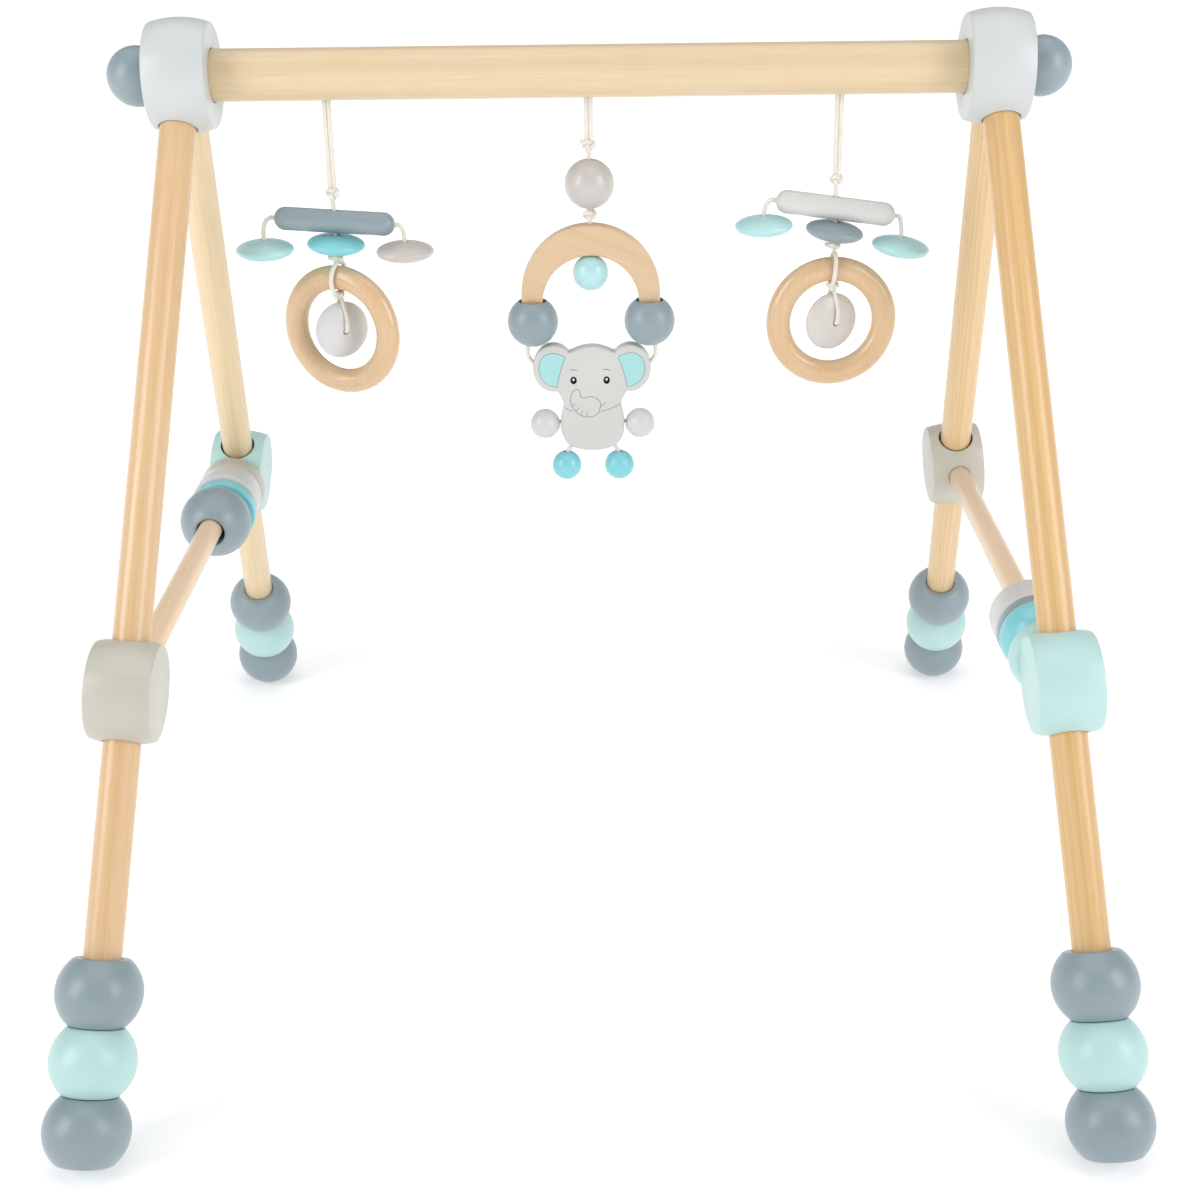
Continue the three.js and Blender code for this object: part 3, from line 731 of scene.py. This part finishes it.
def cord_mesh(name, line, radius=CORD_RADIUS, around=24):
    """The mesh of a braided cord along the line, closed at both ends."""
    groove = 0.16
    bm = bmesh.new()
    rings = []
    heading = (line[1] - line[0]).normalized()
    side = heading.orthogonal().normalized()
    walked = 0.0
    for i, spot in enumerate(line):
        ahead = line[min(i + 1, len(line) - 1)] - line[max(i - 1, 0)]
        turn = heading.rotation_difference(ahead)
        heading, side = ahead.normalized(), turn @ side
        other = heading.cross(side)
        if i:
            walked += (spot - line[i - 1]).length
        ring = []
        for k in range(around):
            a = 2 * math.pi * k / around
            out = radius * (1 - groove * (1 - braid(a, walked)))
            offset = (side * math.cos(a) + other * math.sin(a)) * out
            ring.append(bm.verts.new((spot + offset) * MM))
        rings.append(ring)
    for low, high in zip(rings, rings[1:]):
        for k in range(around):
            j = (k + 1) % around
            bm.faces.new((low[k], low[j], high[j], high[k]))
    for ring, end in ((rings[0], line[0]), (rings[-1], line[-1])):
        cap = bm.verts.new(end * MM)
        for k in range(around):
            bm.faces.new((ring[k], ring[(k + 1) % around], cap))
    mesh = closed_mesh(name, bm)
    mesh.shade_smooth()
    return mesh


def add_cord(name, body, points, matrix=None, radius=CORD_RADIUS):
    """A stretch of cord through the points, in millimetres in the matrix's own frame, and its line."""
    line = curve_points([Vector(p) for p in points])
    if matrix:
        line = [(matrix @ (p * MM)) / MM for p in line]
    return show(link(name, cord_mesh(name, line, radius)), body, "cord"), line


def add_knot(name, body, centre, size=1.25, height=1.0, turn=0.0):
    """A tight overhand knot: a cord along a trefoil, drawn up small."""
    steps = 120
    line = []
    for i in range(steps + 1):
        t = 2 * math.pi * i / steps * 0.985
        flat = Vector((math.sin(t) + 2 * math.sin(2 * t), math.cos(t) - 2 * math.cos(2 * t), 0))
        lift = -math.sin(3 * t) * 1.5
        spot = Vector((flat.x * 0.8, lift, (flat.y + 0.37) * height)) * size
        spot.rotate(Matrix.Rotation(turn, 3, "Z"))
        line.append(centre / MM + spot)
    return show(link(name, cord_mesh(name, line, KNOT_CORD_RADIUS)), body, "cord")


def add_tail(name, body, centre, across, up):
    """The cut end of a cord, sticking out of its knot."""
    spot = centre / MM
    way = Vector((across, -0.25, up))
    points = [spot, spot + way * 0.5, spot + way]
    return add_cord(name, body, points, radius=SHORT_CORD_RADIUS)[0]


def doubled_strand(x, top, bottom, phase, steps=12):
    """One of two strands that wind slowly round each other, from top to bottom."""
    points = []
    for i in range(steps + 1):
        share = i / steps
        angle = phase + math.radians(14) * (share - 0.5)
        spread = STRAND_OFFSET * (1 if share < 0.9 else 1 - 0.7 * (share - 0.9) / 0.1)
        points.append(
            (x + spread * math.cos(angle), spread * math.sin(angle), top + (bottom - top) * share)
        )
    return points


def add_hanger(name, body, node, knot, end, ends_in_knot):
    """The doubled cord from the bar to its knot, and the strand that goes on through the toy."""
    pivot = joint_place(joint_above(body)) / MM
    x, top = pivot.x, pivot.z + CORD_TOP
    long_points = doubled_strand(x, top, knot, 0.0) + [
        (x, 0, knot - 3 - (knot - 3 - end) * share) for share in (0, 0.25, 0.5, 0.75, 1)
    ]
    long_strand, long_line = add_cord(f"{name}_strand_long", body, long_points)
    short_points = doubled_strand(x, top, knot, math.pi)
    short_strand, short_line = add_cord(f"{name}_strand_short", body, short_points)
    place = Vector((x, 0, knot)) * MM
    knots = [add_knot(f"{name}_knot_top", body, place, turn=0.3)]
    if ends_in_knot:
        low = Vector((x, 0, end + 0.5)) * MM
        knots.append(add_knot(f"{name}_knot_low", body, low, size=1.15, height=0.5, turn=0.2))
        knots.append(add_tail(f"{name}_tail_low", body, low, -6.0, 1.2))
    else:
        knots.append(add_tail(f"{name}_tail_top", body, place, -5.5, 3.6))
    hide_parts(node)


def joint_above(body):
    return next(j["name"] for j in frame["joints"] if j["child"] == body)


# ------------------------------------------------------------------ mobiles

MOBILE_SLOTS = {
    "left": {
        "rod": "slate",
        "center_lens": "cyan",
        "outer_lens": "aqua",
        "inner_lens": "mauve_grey",
        "ring_lens": "light_grey",
    },
    "right": {
        "rod": "light_grey",
        "center_lens": "slate",
        "outer_lens": "aqua",
        "inner_lens": "aqua",
        "ring_lens": "mauve_grey",
    },
}


LEAN = {"mobile_right_outer_lens": 8, "mobile_right_inner_lens": -2}  # degrees, right end down


def rod_slope(toy):
    """The rod's own direction: from its middle to the hole in its right end."""
    lens = "inner_lens" if toy == "mobile_left" else "outer_lens"
    return (joint_place(f"{toy}_{lens}_swing") - joint_place(f"{toy}_twist")).normalized()


def add_rod(toy, slot):
    centre = joint_place(f"{toy}_twist")
    slope = rod_slope(toy)
    straight = ROD["length"] / 2 - ROD["radius"]
    radius = ROD["radius"]
    left = [(r, h - straight) for r, h in arc(0, radius, radius, -90, 0, 14)]
    right = [(r, h + straight) for r, h in arc(0, radius, radius, 0, 90, 14)]
    profile = [(0, -ROD["length"] / 2), *left[1:], *right[:-1], (0, ROD["length"] / 2)]
    rod = turned(f"{toy}_rod_painted", profile, placed(centre, slope, Z_AXIS), sides=64)
    reach = Z_AXIS * 12 * MM
    holes = [drill(centre - reach, centre + reach, THREADED_BORE, 32)]
    for sign in (-1, 1):
        tip = centre + slope * sign * (ROD["length"] / 2 + 1) * MM
        holes.append(drill(tip, tip - slope * sign * 9 * MM, LENS["bore"], 32))
    show(cut(rod, *holes), f"{toy}_rod", slot, f"{toy}_rod")


def add_side_lens(toy, which, slot):
    """A lens on a short cord that comes out of the rod's end and bends down into it."""
    node = f"{toy}_{which}_lens"
    centre = middle(node)
    lean = math.radians(LEAN.get(node, 0))
    axis = Vector((math.sin(lean), 0, math.cos(lean)))
    profile = lens_profile(LENS["radius"], LENS["half"], LENS["bore"])
    lens = turned(f"{node}_painted", profile, placed(centre, axis, X_AXIS), edge=0.4)
    show(lens, node, slot, node)
    end = joint_place(f"{node}_swing") / MM
    out = (end - joint_place(f"{toy}_twist") / MM).normalized()
    top = centre / MM
    bow = (top.x - end.x) * X_AXIS
    drop = end.z - top.z
    points = [
        end - out * 5,
        end + out * 0.5,
        end + out * 2.4,
        end + bow * 0.78 + Z_AXIS * -drop * 0.13,
        Vector((top.x, 0, end.z - drop * 0.42)),
        top + Z_AXIS * 5,
        top + Z_AXIS,
    ]
    add_cord(f"{node}_cord", node, points, radius=SHORT_CORD_RADIUS)


def add_ring(toy, lens_slot):
    centre = middle(f"{toy}_ring")
    swing_axis = Vector(joint(f"{toy}_ring_swing")["axis"])
    face = placed(centre, swing_axis.cross(Z_AXIS), swing_axis)
    section = arc(RING["middle"], RING["across"], RING["half"], -180, 180, 40)[:-1]
    ring = turned(f"{toy}_ring_wood", section, face, sides=144)
    body = f"{toy}_ring"
    show(ring, body, "beech", f"{toy}_ring")

    upright = placed(centre, Z_AXIS, swing_axis)
    across, half = (RING["across"] + LOOP_RADIUS) * 1.12, (RING["half"] + LOOP_RADIUS) * 1.1
    loop = []
    for i in range(17):
        a = 2 * math.pi * i / 16 * 0.94 + 0.19
        spot = (0.8 * math.cos(a), half * math.sin(a), RING["middle"] + across * math.cos(a))
        loop.append(spot)
    loop_piece, loop_line = add_cord(f"{toy}_ring_loop", body, loop, upright, LOOP_RADIUS)
    low = RING["middle"] - across - 0.6
    knot = upright @ Vector((0, -1.5 * MM, low * MM))
    ring_knot = add_knot(f"{toy}_ring_knot", body, knot, size=1.15, height=0.5, turn=0.1)

    node = f"{toy}_ring_lens"
    lens_axis = Vector(joint(f"{node}_swing")["axis"])
    profile = lens_profile(LENS["radius"], LENS["half"], LENS["bore"])
    hang = placed(middle(node), lens_axis.cross(Z_AXIS), lens_axis)
    lens = turned(f"{node}_painted", profile, hang, edge=0.4)
    # Painted light: the lens takes a lightened copy of its slot's paint.
    show(lens, node, lens_slot, node, material=LENS_PAINT_PAINTED_LIGHT[toy])
    upright = placed(middle(node), Z_AXIS, lens_axis)
    for name, sign in (("front", -1), ("back", 1)):
        tail = [
            (0, sign * 0.5, low - 1),
            (0.3, sign * 2.4, low - 4),
            (0.6, sign * 4.6, 14),
            (0.6, sign * 6.9, 9),
            (0.3, sign * 7.7, 3.6),
            (0, sign * 6.6, 0.5),
            (0, sign * 2.5, 0),
        ]
        add_cord(f"{node}_cord_{name}", node, tail, upright, SHORT_CORD_RADIUS)


def add_mobile(side):
    toy = f"mobile_{side}"
    slots = MOBILE_SLOTS[side]
    rod = joint_place(f"{toy}_twist") / MM
    under = joint_place(f"{toy}_ring_swing") / MM
    add_hanger(toy, f"{toy}_cord", f"{toy}_cord", rod.z + MOBILE_KNOT_RISE, under.z, True)
    add_rod(toy, slots["rod"])
    lens = turned(
        f"{toy}_center_lens_painted",
        lens_profile(LENS["radius"], LENS["half"], THREADED_BORE),
        placed(middle(f"{toy}_center_lens"), rod_slope(toy).cross(Y_AXIS), X_AXIS),
        edge=0.4,
    )
    show(lens, f"{toy}_rod", slots["center_lens"], f"{toy}_center_lens")
    for which in ("outer", "inner"):
        add_side_lens(toy, which, slots[f"{which}_lens"])
    add_ring(toy, slots["ring_lens"])


# ------------------------------------------------------------------ middle toy


def plate(name, outline, half, edge, matrix):
    """A board cut to the (x, z) outline, in millimetres, with rounded edges, facing -Y."""
    data = bpy.data.curves.new(name, "CURVE")
    data.dimensions = "2D"
    data.fill_mode = "BOTH"
    data.extrude = (half - edge) * MM
    data.bevel_depth = edge * MM
    data.bevel_resolution = 4
    data.offset = -edge * MM
    spline = data.splines.new("POLY")
    spline.points.add(len(outline) - 1)
    for point, (x, z) in zip(spline.points, outline):
        point.co = (x * MM, z * MM, 0, 1)
    spline.use_cyclic_u = True
    curve = bpy.data.objects.new(name, data)
    bpy.context.scene.collection.objects.link(curve)
    bpy.context.view_layer.update()
    shown = curve.evaluated_get(bpy.context.evaluated_depsgraph_get())
    mesh = bpy.data.meshes.new_from_object(shown)
    bpy.data.objects.remove(curve)
    bm = bmesh.new()
    bm.from_mesh(mesh)
    bmesh.ops.remove_doubles(bm, verts=bm.verts, dist=1e-6)
    bmesh.ops.recalc_face_normals(bm, faces=bm.faces)
    bmesh.ops.rotate(bm, verts=bm.verts, matrix=Matrix.Rotation(math.pi / 2, 3, "X"))
    bm.to_mesh(mesh)
    bm.free()
    smooth(mesh, 30)
    piece = link(name, mesh, matrix)
    normals = piece.modifiers.new("flat faces", "WEIGHTED_NORMAL")
    normals.keep_sharp = True
    return piece


def arch_outline():
    outer, inner = ARCH["outer"], ARCH["inner"]
    top = [(x, z + ARCH["outer_centre"]) for x, z in arc(0, outer, outer, 0, 180, 72)]
    under = [(x, z + ARCH["inner_centre"]) for x, z in arc(0, inner, inner, 180, 0, 60)]
    foot = ARCH["foot"]
    return [(outer, foot), *top, (-outer, foot), (-inner, foot), *under, (inner, foot)]


ELEPHANT = {
    "forehead": (0, 390.8),
    "notch": (12.8, 387.3),
    "ear": (24.5, 376.5, 13.2, 15.4),
    "cheek": (21, 359),
    "neck": (18.4, 351.5),
    "flank": (20.6, 338),
    "haunch": (14, 324.1),
    "belly": (0, 321.1),
}


def bend(a, control, b, steps=8):
    """Points of the curve from a to b that leans towards the control point, without a."""
    points = []
    for i in range(1, steps + 1):
        t = i / steps
        points.append(
            tuple(
                a[k] * (1 - t) ** 2 + 2 * control[k] * t * (1 - t) + b[k] * t * t for k in (0, 1)
            )
        )
    return points


def elephant_outline():
    """Down the right side from the forehead to the belly, then the same points mirrored."""
    e = ELEPHANT
    x, z, across, up = e["ear"]
    ear = []
    for i in range(37):
        a = math.radians(138 - 236 * i / 36)
        ear.append((x + across * math.cos(a), z + up * math.sin(a)))
    half = [e["forehead"]]
    half += bend(half[-1], (7, e["forehead"][1] - 0.2), e["notch"])
    half += ear
    half += bend(half[-1], (e["cheek"][0] + 0.4, e["cheek"][1] + 0.8), e["cheek"], 4)
    half += bend(half[-1], (18.6, 355), e["neck"], 5)
    half += bend(half[-1], (20.4, 345.5), e["flank"])
    half += bend(half[-1], (20.2, 328), e["haunch"])
    half += bend(half[-1], (8, e["belly"][1]), e["belly"])
    return half + [(-px, pz) for px, pz in reversed(half[1:-1])]


def stroke(name, points, width, body, material, matrix, closed=False):
    """A thin printed line on the elephant's face, tapered at its ends unless it is closed."""
    line = curve_points([Vector((x, 0, z)) for x, z in points], 0.35)
    front = -ELEPHANT_HALF
    bm = bmesh.new()
    rows = []
    for i, spot in enumerate(line):
        along = (line[min(i + 1, len(line) - 1)] - line[max(i - 1, 0)]).normalized()
        side = Vector((-along.z, 0, along.x))
        share = i / (len(line) - 1)
        taper = 1 if closed else min(1, 0.25 + 4 * min(share, 1 - share))
        row = []
        for out, lift in ((-1, 0.05), (-0.6, -0.06), (0.6, -0.06), (1, 0.05)):
            place = spot + side * out * width / 2 * taper
            row.append(bm.verts.new(Vector((place.x, front + lift, place.z)) * MM))
        rows.append(row)
    for low, high in zip(rows, rows[1:]):
        for k in range(4):
            j = (k + 1) % 4
            bm.faces.new((low[k], low[j], high[j], high[k]))
    for row in (rows[0], rows[-1]):
        bm.faces.new(row)
    return print_piece(name, bm, body, material, matrix)


def patch(name, outline, body, material, matrix, lift=0.05):
    """A flat printed shape on the elephant's face."""
    front = -ELEPHANT_HALF
    bm = bmesh.new()
    levels = []
    for y in (front + 0.1, front - lift):
        levels.append([bm.verts.new(Vector((x, y, z)) * MM) for x, z in outline])
    count = len(outline)
    for i in range(count):
        j = (i + 1) % count
        bm.faces.new((levels[0][i], levels[0][j], levels[1][j], levels[1][i]))
    for level in levels:
        bm.faces.new(level)
    return print_piece(name, bm, body, material, matrix)


def print_piece(name, bm, body, material, matrix):
    mesh = closed_mesh(name, bm)
    smooth(mesh, 30)
    return show(link(name, mesh, matrix), body, "light_grey", material=material)


def oval(x, z, across, up, steps=40):
    turns = [2 * math.pi * i / steps for i in range(steps)]
    return [(x + across * math.cos(a), z + up * math.sin(a)) for a in turns]


def add_face(matrix):
    """A plain, friendly elephant's face: two eyes, two brows, an upturned trunk and a collar line."""
    body = "elephant"
    matrix = matrix @ Matrix.Translation(Z_AXIS * FACE_LIFT * MM)
    for name, sign in (("left", -1), ("right", 1)):
        eye_x, eye_z = sign * 10.6 - 1.2, 367.2
        patch(f"eye_{name}", oval(eye_x, eye_z, 2.05, 2.5), body, EYE_INK, matrix, 0.07)
        patch(f"eye_{name}_glint", oval(eye_x, eye_z + 0.5, 0.6, 0.75), body, GLINT, matrix, 0.12)
        brow = [(eye_x - 2.5, 374.1), (eye_x, 374.3), (eye_x + 2.6, 373.8)]
        stroke(f"brow_{name}", brow, 0.6, body, INK, matrix)
        inner = [(sign * 16.9, 382.2)]
        inner += bend(inner[-1], (sign * 20.4, 374), (sign * 22.6, 362.6), 10)
        inner += bend(inner[-1], (sign * 33.2, 364.4), (sign * 33.9, 374.6), 12)
        inner += bend(inner[-1], (sign * 33.6, 384.6), (sign * 25.3, 385.2), 12)
        inner += bend(inner[-1], (sign * 20.6, 385.2), (sign * 16.9, 382.2), 6)[:-1]
        patch(f"inner_ear_{name}", inner, body, EAR_PAINT, matrix, 0.05)
        rim = inner + inner[:1]
        stroke(f"inner_ear_{name}_rim", rim, 0.42, body, INK, matrix, closed=True)
    trunk = [
        (4.6, 347.0),
        (5.4, 351.6),
        (2.6, 355.2),
        (-1.6, 356.3),
        (-5.2, 355.3),
        (-7.4, 356.4),
        (-7.9, 359.6),
        (-9.6, 361.2),
        (-12.6, 359.2),
        (-14.0, 354.6),
        (-12.8, 349.4),
        (-9.2, 344.9),
        (-4.4, 342.6),
        (0.8, 343.0),
        (4.0, 345.6),
        (4.6, 347.0),
    ]
    stroke("trunk_line", trunk, 0.46, body, INK, matrix, closed=True)
    creases = (
        (-13.0, 350.2, 2.6, 2.0),
        (-10.8, 346.6, 2.0, 2.9),
        (-7.6, 344.0, 1.2, 3.2),
        (-3.9, 342.8, 0.7, 3.2),
    )
    for i, (x, z, dx, dz) in enumerate(creases):
        crease = [(x, z), (x + dx * 0.65, z + dz * 0.45), (x + dx, z + dz)]
        stroke(f"trunk_crease_{i + 1}", crease, 0.4, body, INK, matrix)
    stroke("collar_left", [(-18.3, 349.4), (-15.6, 347.6), (-12.4, 346.4)], 0.45, body, INK, matrix)
    stroke("collar_right", [(4.6, 345.8), (11.4, 347.9), (18.3, 351.4)], 0.45, body, INK, matrix)
    stroke("smile", [(5.3, 349.2), (7.4, 350.8), (9.2, 352.8)], 0.4, body, INK, matrix)


def add_limbs():
    for name, sign in (("left", -1), ("right", 1)):
        radius = LIMB_BALL["radius"]
        profile = lens_profile(radius, radius, LIMB_BALL["bore"])
        hand = f"elephant_hand_{name}"
        centre = middle(hand)
        matrix = placed(centre, X_AXIS, Z_AXIS)
        show(turned(f"{hand}_painted", profile, matrix, edge=0.4, sides=64), hand, "light_grey", hand)
        pivot = joint_place(f"{hand}_swing") / MM
        spot = centre / MM
        shoulder = [
            Vector((pivot.x - sign * 3, 0, pivot.z + 1.3)),
            Vector((pivot.x + sign * 0.3, 0, pivot.z + 1.3)),
            Vector((spot.x - sign * 8.6, 0, spot.z + 1.2)),
            Vector((spot.x - sign * 5, 0, spot.z + 0.2)),
            Vector((spot.x, 0, spot.z)),
        ]
        add_cord(f"{hand}_cord", hand, shoulder, radius=1.2)
        foot = f"elephant_foot_{name}"
        centre = middle(foot)
        matrix = placed(centre, Z_AXIS, X_AXIS)
        show(turned(f"{foot}_painted", profile, matrix, edge=0.4, sides=64), foot, "cyan", foot)
        spot = centre / MM
        hip = [
            Vector((spot.x - sign * 3.6, 0, spot.z + 18)),
            Vector((spot.x - sign * 2.9, 0, spot.z + 13.4)),
            Vector((spot.x - sign * 1.0, 0, spot.z + 9.8)),
            Vector((spot.x, 0, spot.z + 6)),
            Vector((spot.x, 0, spot.z)),
        ]
        add_cord(f"{foot}_cord", foot, hip, radius=1.3)


def add_center_toy():
    x0 = joint_place("center_swing").x
    matrix = Matrix.Translation((x0, 0, 0))
    ball_centre = middle("center_ball")
    drop_centre = middle("arch_drop_ball")
    knot = ball_centre.z / MM + CENTER_KNOT_RISE
    add_hanger("center", "center_cord", "center_cord", knot, drop_centre.z / MM, False)
    crown = (ARCH["outer_centre"] + ARCH["outer"]) * MM
    lump = Vector((x0, 0, (ball_centre.z - CENTER_BALL_RADIUS * MM + crown) / 2))
    add_knot("center_knot_low", "center_cord", lump, size=1.3, height=0.85, turn=0.5)
    profile = lens_profile(CENTER_BALL_RADIUS, CENTER_BALL_RADIUS, LENS["bore"])
    ball = turned("center_ball_painted", profile, placed(ball_centre, Z_AXIS, X_AXIS), edge=0.3)
    show(ball, "center_cord", "mauve_grey", "center_ball")

    arch = plate("arch_wood", arch_outline(), ARCH_HALF, 1.1, matrix)
    show(arch, "arch", "beech", "arch", material=ARCH_WOOD)
    profile = lens_profile(DROP_BALL_RADIUS, DROP_BALL_RADIUS, LENS["bore"])
    drop = turned("arch_drop_ball_painted", profile, placed(drop_centre, Z_AXIS, X_AXIS), edge=0.3)
    show(drop, "arch", "aqua", "arch_drop_ball")

    for name, sign in (("left", -1), ("right", 1)):
        node = f"arch_ball_{name}"
        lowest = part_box(node)[0].z
        centre = Vector((middle(node).x, 0, lowest + ARCH_BALL["bottom"] * MM))
        radius, socket = ARCH_BALL["radius"], ARCH_BALL["socket"]
        rim = math.sqrt(radius**2 - socket**2)
        floor = ARCH["foot"] - GAP - centre.z / MM
        bottom = ARCH_BALL["bottom"]
        outer = arc(0, radius, radius, -flat_angle(bottom, radius), flat_angle(rim, radius), 36)
        profile = [(0, -bottom), *outer, (socket, floor), (0, floor)]
        cup = turned(f"{node}_painted", profile, placed(centre, Z_AXIS, X_AXIS), edge=0.4)
        show(cup, "arch", "slate", node)
        ear_x = sign * EAR_CORD_X
        ear = [
            (ear_x * 0.93, 0, 396),
            (ear_x, 0, 390.5),
            (ear_x * 1.01, 0, 385),
            (ear_x * 0.95, 0, 380.5),
            (ear_x * 0.87, 0, 378.5),
        ]
        add_cord(f"ear_cord_{name}", "elephant", ear, matrix, SHORT_CORD_RADIUS)

    board = plate("elephant_painted", elephant_outline(), ELEPHANT_HALF, 1.0, matrix)
    # Painted shade: the board's light grey is darkened a little.
    show(board, "elephant", "light_grey", "elephant", material=BOARD_PAINT_PAINTED_SHADE)
    add_face(matrix)
    add_limbs()


# ------------------------------------------------------------------ studio


def add_studio():
    mesh = bpy.data.meshes.new("floor")
    size = 12
    corners = [(-size, -size, 0), (size, -size, 0), (size, size, 0), (-size, size, 0)]
    mesh.from_pydata(corners, [], [(0, 1, 2, 3)])
    floor = link("floor", mesh)
    floor.location.z = -0.0003
    mesh.materials.append(glowing_floor_paper("glowing_floor_paper"))

    world = bpy.data.worlds.new("studio")
    world.use_nodes = True
    tree = world.node_tree
    sky = tree.nodes["Background"]
    sky.inputs["Color"].default_value = (1, 1, 1, 1)
    way = tree.nodes.new("ShaderNodeTexCoord")
    parts = tree.nodes.new("ShaderNodeSeparateXYZ")
    fade = tree.nodes.new("ShaderNodeMapRange")
    fade.interpolation_type = "SMOOTHSTEP"
    for socket, value in (("From Min", 0.0), ("From Max", 0.42), ("To Min", 0.82), ("To Max", 0.32)):
        fade.inputs[socket].default_value = value
    tree.links.new(way.outputs["Generated"], parts.inputs[0])
    tree.links.new(parts.outputs["Z"], fade.inputs["Value"])
    tree.links.new(fade.outputs[0], sky.inputs["Strength"])
    bpy.context.scene.world = world

    target = Vector((0, 0, 0.3))
    for name, place, wide, high, power in (
        ("softbox_left", (-1.95, -1.25, 1.35), 1.1, 1.7, 25),
        ("softbox_right", (1.95, -1.25, 1.35), 1.1, 1.7, 25),
        ("top_light", (0.0, 0.2, 2.6), 2.6, 2.6, 25),
    ):
        data = bpy.data.lights.new(name, "AREA")
        data.shape = "RECTANGLE"
        data.size = wide
        data.size_y = high
        data.energy = power
        light = bpy.data.objects.new(name, data)
        bpy.context.scene.collection.objects.link(light)
        away = Vector(place) - target
        light.matrix_world = placed(Vector(place), away, Z_AXIS.cross(away) + X_AXIS * 0.001)
    bpy.context.scene.view_settings.view_transform = "Standard"


# ------------------------------------------------------------------ build

add_mobile("left")
add_mobile("right")
add_center_toy()
add_top_bar()
for side, sign in (("left", -1), ("right", 1)):
    add_hub(side, sign)
    add_end_ball(side, sign)
    add_side_bar(side)
add_leg("left", "front", "warm_grey")
add_leg("left", "rear", "mint")
add_leg("right", "front", "mint")
add_leg("right", "rear", "warm_grey")
add_side_beads()
add_studio()

bpy.context.view_layer.update()
